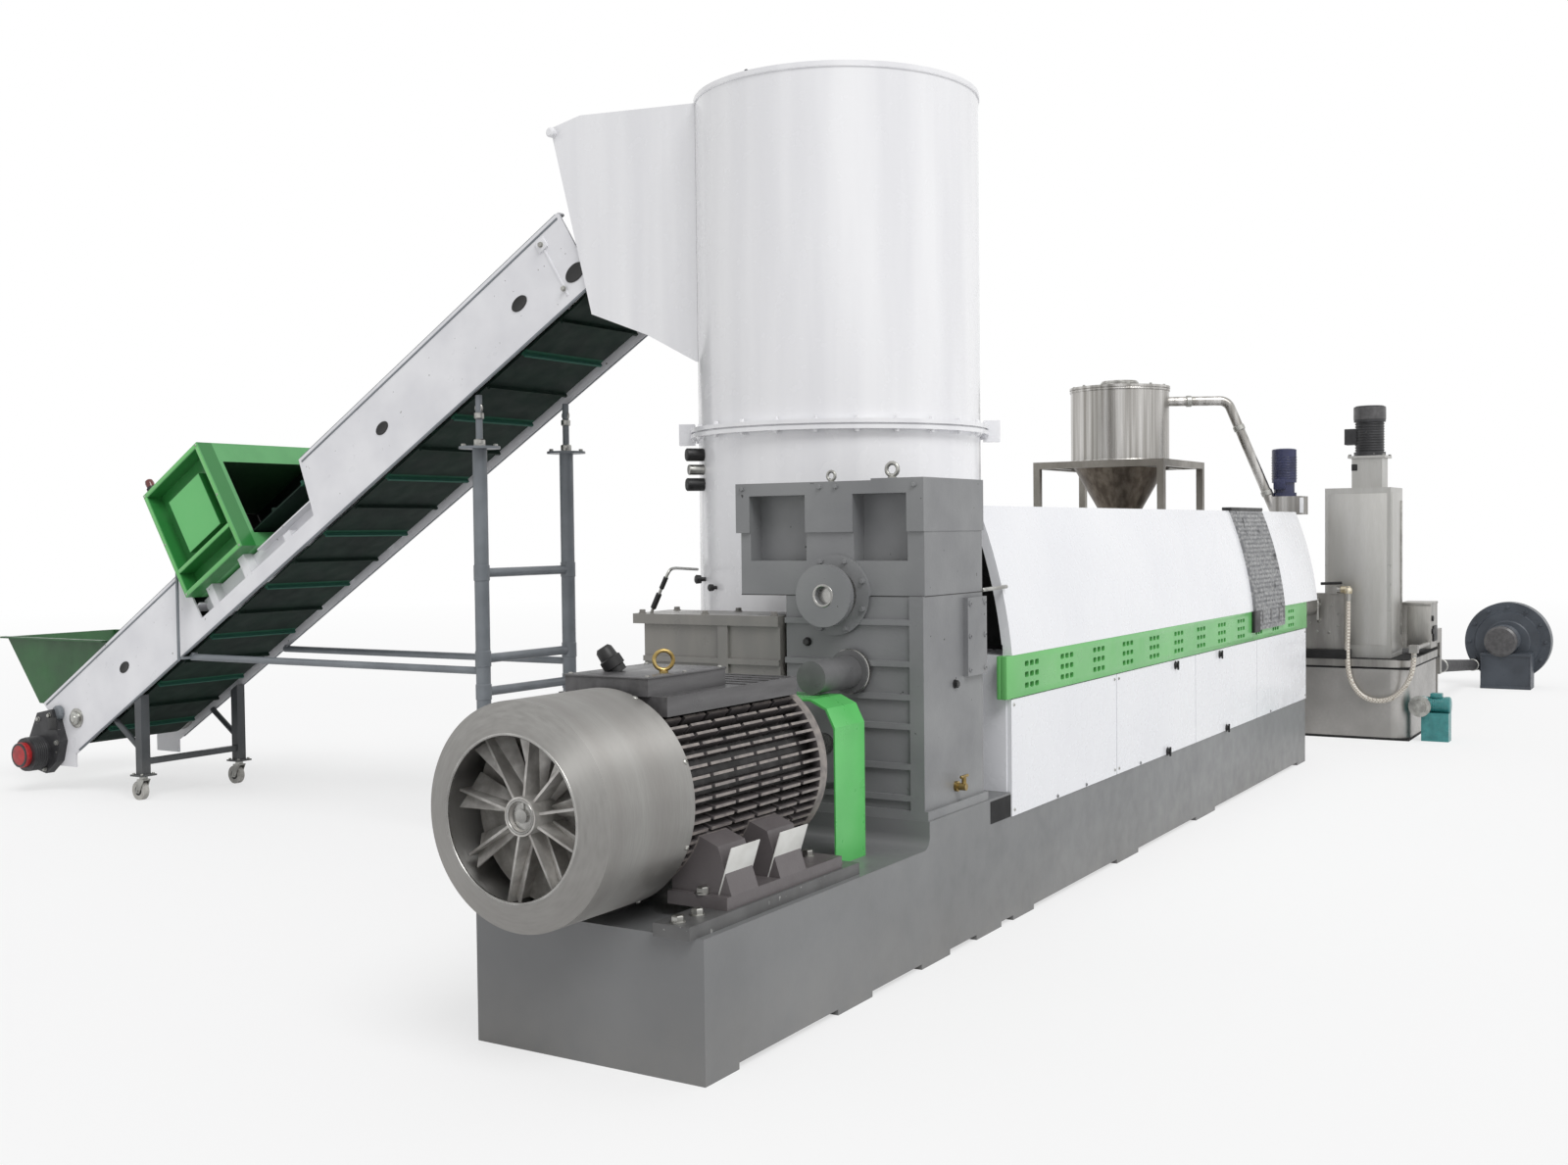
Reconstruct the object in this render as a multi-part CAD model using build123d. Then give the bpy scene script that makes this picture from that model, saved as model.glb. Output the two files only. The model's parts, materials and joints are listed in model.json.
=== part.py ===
from build123d import *
import math
import os

os.makedirs("parts", exist_ok=True)

# Frame: millimetres, +X from the motor end to the pelletizer end, +Y towards the conveyor, +Z up.
# The origin is the centre of the underside of the sole pad below the gearbox's front face.

# Bed
BED_WIDTH = 870
BED_NEAR_X = -1520
BED_FAR_X = 5740
BED_LOW_TOP = 430
BED_HIGH_TOP = 530
BED_STEP_X = -46
BED_STEP_RADIUS = 45
PAD_HEIGHT = 20
PAD_SPANS = [(-1520, -1340), (-740, -500), (-120, 120), (360, 600), (720, 940), (1970, 2280), (3240, 3600), (5520, 5740)]
RAIL_WIDTH = 130
RAIL_HEIGHT = 40
RAIL_Y = 345
RAIL_START_X = -1555
RAIL_END_X = -540

# Main motor, on a shaft line along X
SHAFT_Z = 795
COWL_RADIUS = 335
COWL_WALL = 8
COWL_MOUTH_RADIUS = 239
COWL_FRONT_X = -1850
COWL_CORNER_X = -1815
COWL_BACK_X = -1409
COWL_RING = 21
BODY_FRONT_X = -1430
BODY_BACK_X = -570
BODY_RADIUS = 262
FIN_RADIUS = 305
FIN_THICK = 9
FIN_PITCH_DEG = 6.4
FINS_PER_SIDE = 19
FIN_SECTIONS = 6
FIN_GAP = 20
END_SHIELD = 45
FOOT_SPANS = [(-1315, -1165), (-1035, -875)]
FOOT_BASE_X0 = -1340
FOOT_BASE_X1 = -640
FOOT_BASE_THICK = 40
FOOT_INNER_Y = 180
FOOT_EDGE_Y = 398
FOOT_KNEE_Y = 350
FOOT_KNEE_Z = 655
FOOT_TOP_Y = 262
FOOT_TOP_Z = 690
SHAFT_RADIUS = 40
SHAFT_STUB_RADIUS = 20
SHAFT_STUB = 8
FAN_RADIUS = 285
FAN_BLADES = 9
FAN_BLADE_THICK = 8
FAN_DISC_THICK = 8
FAN_HUB_RADIUS = 57
FAN_HUB_RECESS_RADIUS = 46
FAN_HUB_RECESS = 14
FAN_FRONT_X = -1805
FAN_BLADE_FRONT_X = -1788
FAN_BLADE_TIP_X = -1750
FAN_BACK_X = -1650
SHROUD_TOP_Z = 1105
SHROUD_WIDTH = 420
SHROUD_THICK = 60
SHROUD_FRONT_X = -1370
SHROUD_BACK_X = -610
TERMINAL_BOX_X0 = -1385
TERMINAL_BOX_X1 = -960
TERMINAL_BOX_Y0 = -150
TERMINAL_BOX_Y1 = 170
TERMINAL_BOX_HEIGHT = 52

# Coupling and its guard
GUARD_FRONT_X = -470
GUARD_BACK_X = -255
GUARD_WIDTH = 560
GUARD_TOP_Z = 1010
GUARD_SHOULDER = 95
GUARD_WALL = 6
COUPLING_RADIUS = 150
COUPLING_HUB_RADIUS = 82
COUPLING_FLANGE = 55
COUPLING_INSET = 30
COUPLING_SPACE = 15

# Gearbox
GEAR_FRONT_X = -30
GEAR_BACK_X = 480
GEAR_RIGHT_Y = -415
GEAR_LEFT_Y = 384
GEAR_LOW_LEFT_Y = 180
GEAR_SPLIT_Z = 1357
GEAR_CAP_Z = 1598
GEAR_CAP_LIP = 10
GEAR_CAP_SIDE_LIP = 18
GEAR_TOP_Z = 1790
GEAR_TOP_STEP = 7
GEAR_TOP_STEP_Y = -200
GEAR_FOOT_LIP = 14
GEAR_FOOT_HEIGHT = 34
POCKET_DEPTH = 80
POCKET_Z0 = 1489
POCKET_Z1 = 1741
POCKET_LEFT_Y0 = 87
POCKET_LEFT_Y1 = 339
POCKET_RIGHT_Y0 = -347
POCKET_RIGHT_Y1 = -121
RIB_STEP = 14
RIB_THICK = 22
RIB_LEVELS = [609, 726, 875, 984, 1107, 1261]
PILASTER_Y = -357
SIDE_PANEL_X0 = 302
SIDE_PANEL_X1 = 478
SIDE_PANEL_Z0 = 1036
SIDE_PANEL_Z1 = 1340
SIDE_PANEL_STEP = 20
SHAFT_GAP = 1
SHAFT_BOSS_RADIUS = 150
GEAR_BOSS = 30
SCREW_Z = 1360
SCREW_Y = -38
OUTPUT_FLANGE_RADIUS = 153
OUTPUT_FLANGE_THICK = 16
OUTPUT_NECK_RADIUS = 98
OUTPUT_DISC_RADIUS = 118
OUTPUT_DISC_THICK = 28
OUTPUT_REACH = 96
OUTPUT_BORE_RADIUS = 34
OUTPUT_BORE_DEPTH = 70
OIL_PUMP_Y = -115
OIL_PUMP_Z = 1074
OIL_PUMP_RADIUS = 60
OIL_PUMP_COLLAR_RADIUS = 82
OIL_PUMP_COLLAR = 34
OIL_PUMP_END_X = -350

# Compactor drive housing and its lid
DRIVE_FRONT_X = -46
DRIVE_BLOCK_BACK_X = 250
DRIVE_BACK_X = 1960
DRIVE_RIGHT_Y = 200
DRIVE_LEFT_Y = 849
DRIVE_BLOCK_LEFT_Y = 884
DRIVE_BED_GAP = 10
DRIVE_REAR_RIGHT_Y = 460
DRIVE_REAR_LEFT_Y = 1330
DRIVE_STEP_X = 560
DRIVE_CORNER_X = 760
DRIVE_TOP_Z = 1235
DRIVE_REAR_TOP_Z = 1150
DRIVE_LID_THICK = 40
DRIVE_LID_LIP = 46
DRIVE_LID_FRONT_LIP = 16
DRIVE_RIB_Z = 1094
DRIVE_RIB = 22
DRIVE_RIB_STEP = 12
DRIVE_POST_Y0 = 436
DRIVE_POST_Y1 = 483

# Cutter compactor tower
TOWER_X = 1300
TOWER_Y = 685
TOWER_RADIUS = 665
TOWER_WALL = 15
TOWER_FLOOR_THICK = 20
TOWER_FLANGE_Z = 2043
TOWER_FLANGE_HEIGHT = 44
TOWER_FLANGE_LIP = 38
TOWER_FLANGE_GROOVE = 8
TOWER_LUG_ANGLES = [120, 300]
TOWER_LUG_REACH = 55
TOWER_LUG_WIDTH = 56
TOWER_LUG_OVERLAP = 20
TOWER_TOP_Z = 3600
TOWER_ROOF_THICK = 20
TOWER_ROOF_LIP = 6

# Inclined feed conveyor, running along Y, placed by its head at the tower
CONV_NEAR_X = 907
CONV_FAR_X = 1687
CONV_PLATE = 12
CONV_FLANGE = 45
CONV_HEAD_Y = 1926.5
CONV_HEAD_Z = 2997.5
CONV_LENGTH = 4900
CONV_SLOPE_DEG = 31.6
CONV_PLATE_LOW = -195
CONV_PLATE_HIGH = 235
CONV_TAIL_TOP = -144
CONV_TAIL_LOW = -21
CONV_HEAD_CHAMFER = 40
BELT_INSET = 75
BELT_THICK = 10
BELT_MIDDLE = -12
ROLLER_RADIUS = 157
ROLLER_TAIL = 110
ROLLER_HEAD = 180
CLEAT_HEIGHT = 18
CLEAT_THICK = 14
CLEAT_COUNT = 16
TAKE_UP_Y0 = -76
TAKE_UP_Y1 = 150
TAKE_UP_Z0 = -266
TAKE_UP_Z1 = -67

# Feed hopper at the conveyor's tail, given from the tail's place
HOPPER_RIM_RISE = 545
HOPPER_TAIL_REACH = 615
HOPPER_FOOT_REACH = 285
HOPPER_WALL = 8
HOPPER_LIP = 40

# Detector housing round the conveyor
DETECTOR_START = 1505
DETECTOR_LENGTH = 580
DETECTOR_BOTTOM = 42
DETECTOR_TOP = 752
DETECTOR_SIDE = 66
DETECTOR_BORDER = 131
DETECTOR_SILL = 90
DETECTOR_EDGE = 28
DETECTOR_RECESS = 100
DETECTOR_PANEL_FROM = 135
DETECTOR_PANEL_TO = 455
DETECTOR_PANEL_LOW = 228
DETECTOR_PANEL_HIGH = 578
DETECTOR_RIB_LOW = 148
DETECTOR_RIB_HIGH = 172
NOTCH_DOWNHILL = 1480
NOTCH_UPHILL_LOW = 2615
NOTCH_UPHILL_HIGH = 2684
NOTCH_LOW = -90
SUPPORT_BARS = [1600, 1930, 2330]
SUPPORT_BAR = 60

# Conveyor supports
LOW_LEG_FROM_TAIL = 700
LOW_LEG_SIZE = 60
LOW_CROSSBAR_Z = 235
LOW_FOOT_HALF = 55
LOW_BRACE_REACH = 250
LOW_BRACE_Z = 310
BRACE_RADIUS = 18
TALL_LEG_Y = 2625
TALL_LEG_RADIUS = 38
TALL_LEG_TOP_Z = 2050
TALL_DISC_RADIUS = 107
TALL_DISC_THICK = 12
TALL_RUNGS_Z = [785, 958, 1406]
RUNG_RADIUS = 24
TIE_BAR_Z = 895
TIE_BAR_RADIUS = 20
TIE_BAR_FROM_TAIL = 1170
STAY_RADIUS = 9
STAY_X = 866
STAY_FROM_TAIL = 1150
STAY_TOP_Z = 1414
CASTER_HEIGHT = 150
WHEEL_RADIUS = 58
WHEEL_WIDTH = 36
WHEEL_TRAIL = 30
CASTER_SIDE_GAP = 3
SWIVEL_GAP = 0.5

# Tail gearmotor, given from the tail's place
GEARMOTOR_Y = 203
GEARMOTOR_Z = -183
GEARMOTOR_CASE_THICK = 57
GEARMOTOR_RADIUS = 105
GEARMOTOR_LENGTH = 108
GEARMOTOR_CAP_RADIUS = 76
GEARMOTOR_CAP = 42
GEARMOTOR_CASE = [(0, -100), (80, 99), (230, 70), (340, -130), (320, -280), (150, -313), (40, -230)]

# Feed hood between the conveyor and the tower
HOOD_GAP = 7
HOOD_WALL = 12
HOOD_MOUTH_TOP_Y = 146
HOOD_PEAK_Y = -40
HOOD_PEAK_RISE = 45
HOOD_MOUTH_RISE = 8
HOOD_BACK_DROP = 10
HOOD_INTO_TOWER = 315
HOOD_KNEE_LOW_Y = -706
HOOD_KNEE_LOW_Z = -593
HOOD_KNEE_HIGH_Y = -426
HOOD_KNEE_HIGH_Z = -448
HOOD_MOUTH_LOW_Y = -94
HOOD_MOUTH_LOW_Z = -323
HOOD_BACK_LOW_Z = -668
INLET_LOW_Z = -517
INLET_TOP_DROP = 100

# Extruder cabinet and cover
CABINET_FRONT_X = 698
CABINET_HALF = 419
CABINET_BACK_INSET = 40
PANEL_BOTTOM_Z = 430
BAND_NEAR_X = 644
BAND_Z0 = 912
BAND_Z1 = 1088
BAND_THICK = 28
BAND_RETURN = 17
PANEL_THICK = 22
PANEL_COUNT = 4
PANEL_GAP = 8
COVER_FAR_X = 6050
COVER_NEAR_X = 700
COVER_SIDE_Y = -447
COVER_BULGE_Y = 52
COVER_BULGE_Z = 1400
COVER_TOP_Z = 1700
COVER_TOP_Y = -300
COVER_WALL = 42
COVER_SPLIT_Y = -12
BACK_COVER_X = 2030
BARREL_RADIUS = 115
FEED_THROAT_GAP = 1
STRAP_START_X = 4380
STRAP_END_X = 5090
STRAP_THICK = 14
STRAP_TOP_Y = -260
STRAP_BOTTOM_Z = 970

# Pellet silo
SILO_X = 6370
SILO_Y = 1084
SILO_RADIUS = 366
SILO_WALL = 10
SILO_BOTTOM_Z = 2100
SILO_TOP_Z = 2650
SILO_CONE_Z = 1606
SILO_SPOUT_Z = 1420
SILO_SPOUT_RADIUS = 85
SILO_LID_LIP = 8
SILO_LID_THICK = 16
SILO_PORT_RADIUS = 132
SILO_PORT_HEIGHT = 50
SILO_STAND_HALF = 500
SILO_LEG = 50
SILO_RING_Z = 500
SILO_BEARER_Y = 330
PIPE_RADIUS = 36
PIPE_Z = 2560
PIPE_START_X = 180
PIPE_START_Y = -280
PIPE_BEND_X = 410
PIPE_BEND_Y = -704
PIPE_BEND_RADIUS = 90
PIPE_END_X = 6890
PIPE_END_Y = 50
PIPE_END_Z = 1706

# Column with the small blue motor, behind the far end of the bed
COLUMN_X = 6960
COLUMN_Y = 1
COLUMN_HALF = 75
COLUMN_Y0 = -60
COLUMN_Y1 = 77
COLUMN_HEAD_HALF = 112
COLUMN_HEAD_Y0 = -148
COLUMN_HEAD_Z0 = 1689
COLUMN_TOP_Z = 1827
COLUMN_MOTOR_RADIUS = 90
COLUMN_MOTOR_NECK = 14
COLUMN_MOTOR_TOP_Z = 2180

# Water tank and its lid
TANK_X0 = 7080
TANK_X1 = 8400
TANK_Y0 = -870
TANK_Y1 = 100
TANK_CORNER = 130
TANK_HEIGHT = 545
TANK_WALL = 10
TANK_LID_THICK = 55
TANK_LID_LIP = 12

# Dryer on the tank
DRYER_X0 = 7180
DRYER_X1 = 7650
DRYER_Y0 = -725
DRYER_Y1 = -250
DRYER_TOP_Z = 1885
DRYER_NECK_HALF = 110
DRYER_NECK_X = 7415
DRYER_NECK_Y = -530
DRYER_NECK_TOP_Z = 2130
DRYER_NECK_FLANGE = 18
DRYER_NECK_LIP = 25
DRYER_MOTOR_RADIUS = 115
DRYER_MOTOR_WAIST = 14
DRYER_MOTOR_RIM = 30
DRYER_MOTOR_TOP_Z = 2505
OUTLET_X1 = 7950
OUTLET_Y0 = -932
OUTLET_Y1 = -717
OUTLET_Z0 = 650
OUTLET_Z1 = 1000
OUTLET_DROP_X0 = 8410
OUTLET_DROP_X1 = 8500
OUTLET_DROP_Y0 = -880
OUTLET_DROP_Y1 = -780
OUTLET_DROP_TOP = 760
OUTLET_DROP_Z0 = 390
OUTLET_LEG = 45

# Pelletizer on the tank's near end
CUTTER_X0 = 7092
CUTTER_X1 = 7172
CUTTER_Y0 = -406
CUTTER_Y1 = -118
CUTTER_Z1 = 1091
CUTTER_HEAD_RADIUS = 80
CUTTER_HEAD_Y = -150
CUTTER_HEAD_Z = 1000
VALVE_Y0 = -372
VALVE_Y1 = -300
VALVE_X0 = 7010
VALVE_HEIGHT = 60
ELBOW_RADIUS = 22

# Water hose, from the pelletizer's elbow down and up to the dryer's inlet block
HOSE_X = 7030
HOSE_RADIUS = 18
HOSE_ROUTE = [
    (-450, 1050), (-450, 850), (-442, 645), (-455, 465), (-520, 345),
    (-620, 292), (-740, 302), (-845, 385), (-915, 530), (-915, 660),
]
HOSE_BLOCK = 30

# Water pump beside the tank
PUMP_X = 7150
PUMP_Y = -945
PUMP_Z = 263
PUMP_RADIUS = 70
PUMP_THICK = 80
PUMP_MOTOR_RADIUS = 60
PUMP_MOTOR_SHIFT = 85
PUMP_MOTOR_START = 15
PUMP_MOTOR_LENGTH = 175
PUMP_BASE_TOP = 210

# Blower and its air pipe
BLOWER_X = 11800
BLOWER_Y = -994
BLOWER_Z = 440
BLOWER_RADIUS = 388
BLOWER_THICK = 200
BLOWER_BASE_HALF_Y = 205
BLOWER_BASE_TOP = 80
BLOWER_MOTOR_RADIUS = 145
BLOWER_MOTOR_LENGTH = 300
BLOWER_MOTOR_Y = -970
BLOWER_MOTOR_Z = 462
PEDESTAL_Y0 = -1234
PEDESTAL_Y1 = -788
PEDESTAL_TOP = 342
AIR_PIPE_RADIUS = 52
AIR_PIPE_Z = 450
AIR_PIPE_END_Y = -720
AIR_PIPE_END_Z = 200


def slab(x0, x1, y0, y1, z0, z1):
    """A block between two corners."""
    return Pos((x0 + x1) / 2, (y0 + y1) / 2, (z0 + z1) / 2) * Box(abs(x1 - x0), abs(y1 - y0), abs(z1 - z0))


def rod_x(radius, x0, x1, y, z):
    """A round bar along X."""
    return Pos((x0 + x1) / 2, y, z) * Rot(0, 90, 0) * Cylinder(radius, abs(x1 - x0))


def rod_y(radius, y0, y1, x, z):
    """A round bar along Y."""
    return Pos(x, (y0 + y1) / 2, z) * Rot(90, 0, 0) * Cylinder(radius, abs(y1 - y0))


def rod_z(radius, z0, z1, x, y):
    """A round bar along Z."""
    return Pos(x, y, (z0 + z1) / 2) * Cylinder(radius, abs(z1 - z0))


def tube_z(radius, wall, z0, z1, x, y):
    """A round shell along Z."""
    return rod_z(radius, z0, z1, x, y) - rod_z(radius - wall, z0 - 1, z1 + 1, x, y)


def strut(radius, start, end):
    """A round bar between two points."""
    line = Edge.make_line(start, end)
    profile = Plane(origin=line @ 0, z_dir=line % 0) * Circle(radius)
    return sweep(profile, path=line)


def turned_x(points, y, z):
    """A solid turned about an axis along X, from (x, radius) points."""
    plane = Plane(origin=(0, y, z), x_dir=(1, 0, 0), z_dir=(0, -1, 0))
    face = plane * make_face(Polyline(*points, close=True))
    return revolve(face, axis=Axis((0, y, z), (1, 0, 0)))


def turned_z(points, x, y):
    """A solid turned about an upright axis, from (radius, z) points."""
    plane = Plane(origin=(x, y, 0), x_dir=(1, 0, 0), z_dir=(0, -1, 0))
    face = plane * make_face(Polyline(*points, close=True))
    return revolve(face, axis=Axis((x, y, 0), (0, 0, 1)))


def side_profile(points, y0, y1):
    """A solid extruded across the machine from (x, z) points."""
    plane = Plane(origin=(0, y1, 0), x_dir=(1, 0, 0), z_dir=(0, -1, 0))
    return extrude(plane * make_face(Polyline(*points, close=True)), abs(y1 - y0))


def end_profile(points, x0, x1):
    """A solid extruded along the machine from (y, z) points."""
    plane = Plane(origin=(x0, 0, 0), x_dir=(0, 1, 0), z_dir=(1, 0, 0))
    return extrude(plane * make_face(Polyline(*points, close=True)), x1 - x0)


def plan_profile(points, z0, z1):
    """A solid extruded upwards from (x, y) points."""
    plane = Plane(origin=(0, 0, z0))
    return extrude(plane * make_face(Polyline(*points, close=True)), z1 - z0)


SLOPE = math.radians(CONV_SLOPE_DEG)
TAIL_Y = CONV_HEAD_Y + CONV_LENGTH * math.cos(SLOPE)
TAIL_Z = CONV_HEAD_Z - CONV_LENGTH * math.sin(SLOPE)
LOW_LEG_Y = round(TAIL_Y - LOW_LEG_FROM_TAIL)
TIE_BAR_END_Y = TAIL_Y - TIE_BAR_FROM_TAIL
PLATE_NEAR_IN = CONV_NEAR_X + CONV_PLATE
PLATE_FAR_IN = CONV_FAR_X - CONV_PLATE
CASTER_NEAR_X = CONV_NEAR_X + LOW_LEG_SIZE / 2
CASTER_FAR_X = CONV_FAR_X - LOW_LEG_SIZE / 2


def belt_point(along, above):
    """Y and Z of a point given along the conveyor from its tail, and square above its middle line."""
    y = TAIL_Y - along * math.cos(SLOPE) + above * math.sin(SLOPE)
    z = TAIL_Z + along * math.sin(SLOPE) + above * math.cos(SLOPE)
    return (y, z)


def belt_solid(points, x0, x1):
    """A solid across the conveyor from (along, above) points."""
    return end_profile([belt_point(a, b) for a, b in points], x0, x1)


def belt_block(a0, a1, b0, b1, x0, x1):
    """A block square to the belt."""
    return belt_solid([(a0, b0), (a1, b0), (a1, b1), (a0, b1)], x0, x1)


def bed():
    half = BED_WIDTH / 2
    outline = [
        (BED_NEAR_X, PAD_HEIGHT),
        (BED_FAR_X, PAD_HEIGHT),
        (BED_FAR_X, PANEL_BOTTOM_Z),
        (CABINET_FRONT_X, PANEL_BOTTOM_Z),
        (CABINET_FRONT_X, BED_HIGH_TOP),
        (BED_STEP_X, BED_HIGH_TOP),
        (BED_STEP_X, BED_LOW_TOP),
        (BED_NEAR_X, BED_LOW_TOP),
    ]
    body = side_profile(outline, -half, half)
    corner = body.edges().filter_by(Axis.Y).sort_by_distance((BED_STEP_X, 0, BED_LOW_TOP))[0]
    return fillet(corner, BED_STEP_RADIUS)


def sole_pads():
    half = BED_WIDTH / 2
    return [slab(x0, x1, -half, half, 0, PAD_HEIGHT) for x0, x1 in PAD_SPANS]


def motor_rails():
    rails = []
    for side in (-1, 1):
        y0 = side * RAIL_Y - RAIL_WIDTH / 2
        rails.append(slab(RAIL_START_X, RAIL_END_X, y0, y0 + RAIL_WIDTH, BED_LOW_TOP, BED_LOW_TOP + RAIL_HEIGHT))
    return rails


def fin_outline():
    """One round of the finned frame as (y, z) points: teeth on both sides, plain above and below."""
    points = []
    half_tooth = math.asin(FIN_THICK / 2 / FIN_RADIUS)
    half_foot = math.asin(FIN_THICK / 2 / BODY_RADIUS)
    for side in (0, math.pi):
        for n in range(FINS_PER_SIDE):
            angle = side + math.radians((n - (FINS_PER_SIDE - 1) / 2) * FIN_PITCH_DEG)
            for radius, turn in (
                (BODY_RADIUS, -half_foot), (FIN_RADIUS, -half_tooth), (FIN_RADIUS, half_tooth), (BODY_RADIUS, half_foot),
            ):
                points.append((radius * math.cos(angle + turn), SHAFT_Z + radius * math.sin(angle + turn)))
    return points


def motor_foot(side, x0, x1, top):
    """One sloping foot web between the frame and its rail."""
    points = [
        (side * FOOT_INNER_Y, top),
        (side * FOOT_EDGE_Y, top),
        (side * FOOT_KNEE_Y, FOOT_KNEE_Z),
        (side * FOOT_TOP_Y, FOOT_TOP_Z),
        (side * FOOT_INNER_Y, FOOT_TOP_Z),
    ]
    return end_profile(points, x0, x1)


def motor_body():
    core = rod_x(BODY_RADIUS, BODY_FRONT_X, BODY_BACK_X, 0, SHAFT_Z)
    core += rod_x(FIN_RADIUS, BODY_BACK_X - END_SHIELD, BODY_BACK_X, 0, SHAFT_Z)
    core += rod_x(FIN_RADIUS, BODY_FRONT_X, BODY_FRONT_X + END_SHIELD, 0, SHAFT_Z)
    span = BODY_BACK_X - BODY_FRONT_X - 2 * END_SHIELD
    length = (span - FIN_GAP * (FIN_SECTIONS - 1)) / FIN_SECTIONS
    outline = fin_outline()
    for section in range(FIN_SECTIONS):
        x0 = BODY_FRONT_X + END_SHIELD + section * (length + FIN_GAP)
        core += end_profile(outline, x0, x0 + length)
    rail_top = BED_LOW_TOP + RAIL_HEIGHT
    base_top = rail_top + FOOT_BASE_THICK
    for side in (-1, 1):
        core += slab(FOOT_BASE_X0, FOOT_BASE_X1, side * FOOT_INNER_Y, side * FOOT_EDGE_Y, rail_top, base_top)
        for x0, x1 in FOOT_SPANS:
            core += motor_foot(side, x0, x1, base_top)
    return core - rod_x(SHAFT_RADIUS + SHAFT_GAP, BODY_FRONT_X - 1, BODY_BACK_X + 1, 0, SHAFT_Z)


def motor_shaft():
    step = FAN_FRONT_X + FAN_HUB_RECESS
    shaft = rod_x(SHAFT_RADIUS, step, GEAR_FRONT_X - GEAR_BOSS + 20, 0, SHAFT_Z)
    return shaft + rod_x(SHAFT_STUB_RADIUS, step - SHAFT_STUB, step, 0, SHAFT_Z)


def motor_cowl():
    inside = COWL_RADIUS - COWL_WALL
    shell = turned_x([
        (COWL_BACK_X, COWL_RADIUS),
        (COWL_CORNER_X, COWL_RADIUS),
        (COWL_FRONT_X, COWL_MOUTH_RADIUS),
        (COWL_FRONT_X + COWL_WALL, COWL_MOUTH_RADIUS),
        (COWL_CORNER_X + COWL_WALL, inside),
        (COWL_BACK_X, inside),
    ], 0, SHAFT_Z)
    ring = rod_x(COWL_RADIUS, COWL_BACK_X - COWL_RING, COWL_BACK_X, 0, SHAFT_Z)
    return shell + (ring - rod_x(FIN_RADIUS, COWL_BACK_X - COWL_RING - 1, COWL_BACK_X + 1, 0, SHAFT_Z))


def motor_fan():
    fan = rod_x(FAN_HUB_RADIUS, FAN_FRONT_X, FAN_BACK_X, 0, SHAFT_Z)
    fan += rod_x(FAN_RADIUS, FAN_BACK_X - FAN_DISC_THICK, FAN_BACK_X, 0, SHAFT_Z)
    root = FAN_HUB_RADIUS - FAN_BLADE_THICK
    blade = side_profile([
        (FAN_BACK_X - FAN_DISC_THICK / 2, root),
        (FAN_BACK_X - FAN_DISC_THICK / 2, FAN_RADIUS),
        (FAN_BLADE_TIP_X, FAN_RADIUS),
        (FAN_BLADE_FRONT_X, root),
    ], -FAN_BLADE_THICK / 2, FAN_BLADE_THICK / 2)
    for n in range(FAN_BLADES):
        fan += Pos(0, 0, SHAFT_Z) * Rot(n * 360 / FAN_BLADES, 0, 0) * blade
    fan -= rod_x(FAN_HUB_RECESS_RADIUS, FAN_FRONT_X - 1, FAN_FRONT_X + FAN_HUB_RECESS, 0, SHAFT_Z)
    return fan - rod_x(SHAFT_RADIUS, FAN_FRONT_X - 1, FAN_BACK_X + 1, 0, SHAFT_Z)


def motor_shroud():
    half = SHROUD_WIDTH / 2
    top = slab(SHROUD_FRONT_X, SHROUD_BACK_X, -half, half, SHROUD_TOP_Z - SHROUD_THICK, SHROUD_TOP_Z)
    relief = rod_x(FIN_RADIUS + 0.5, SHROUD_FRONT_X - 1, SHROUD_BACK_X + 1, 0, SHAFT_Z)
    box_top = SHROUD_TOP_Z + TERMINAL_BOX_HEIGHT
    box = slab(TERMINAL_BOX_X0, TERMINAL_BOX_X1, TERMINAL_BOX_Y0, TERMINAL_BOX_Y1, SHROUD_TOP_Z, box_top)
    return (top - relief) + box


def guard_outline(shrink):
    half = GUARD_WIDTH / 2 - shrink
    top = GUARD_TOP_Z - shrink
    shoulder = GUARD_SHOULDER
    return [
        (-half, BED_LOW_TOP),
        (-half, top - shoulder),
        (-half + shoulder * 0.35, top - shoulder * 0.3),
        (-half + shoulder, top),
        (half - shoulder, top),
        (half - shoulder * 0.35, top - shoulder * 0.3),
        (half, top - shoulder),
        (half, BED_LOW_TOP),
    ]


def coupling_guard():
    outer = end_profile(guard_outline(0), GUARD_FRONT_X, GUARD_BACK_X)
    inner = end_profile(guard_outline(GUARD_WALL), GUARD_FRONT_X - 1, GUARD_BACK_X + 1)
    return outer - inner


def input_coupling():
    first = GUARD_FRONT_X + COUPLING_INSET
    second = first + COUPLING_FLANGE + COUPLING_SPACE
    coupling = rod_x(COUPLING_RADIUS, first, first + COUPLING_FLANGE, 0, SHAFT_Z)
    coupling += rod_x(COUPLING_RADIUS, second, second + COUPLING_FLANGE, 0, SHAFT_Z)
    coupling += rod_x(COUPLING_HUB_RADIUS, first - COUPLING_SPACE, GUARD_BACK_X, 0, SHAFT_Z)
    return coupling - rod_x(SHAFT_RADIUS, GUARD_FRONT_X - 1, GUARD_BACK_X + 1, 0, SHAFT_Z)


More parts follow.
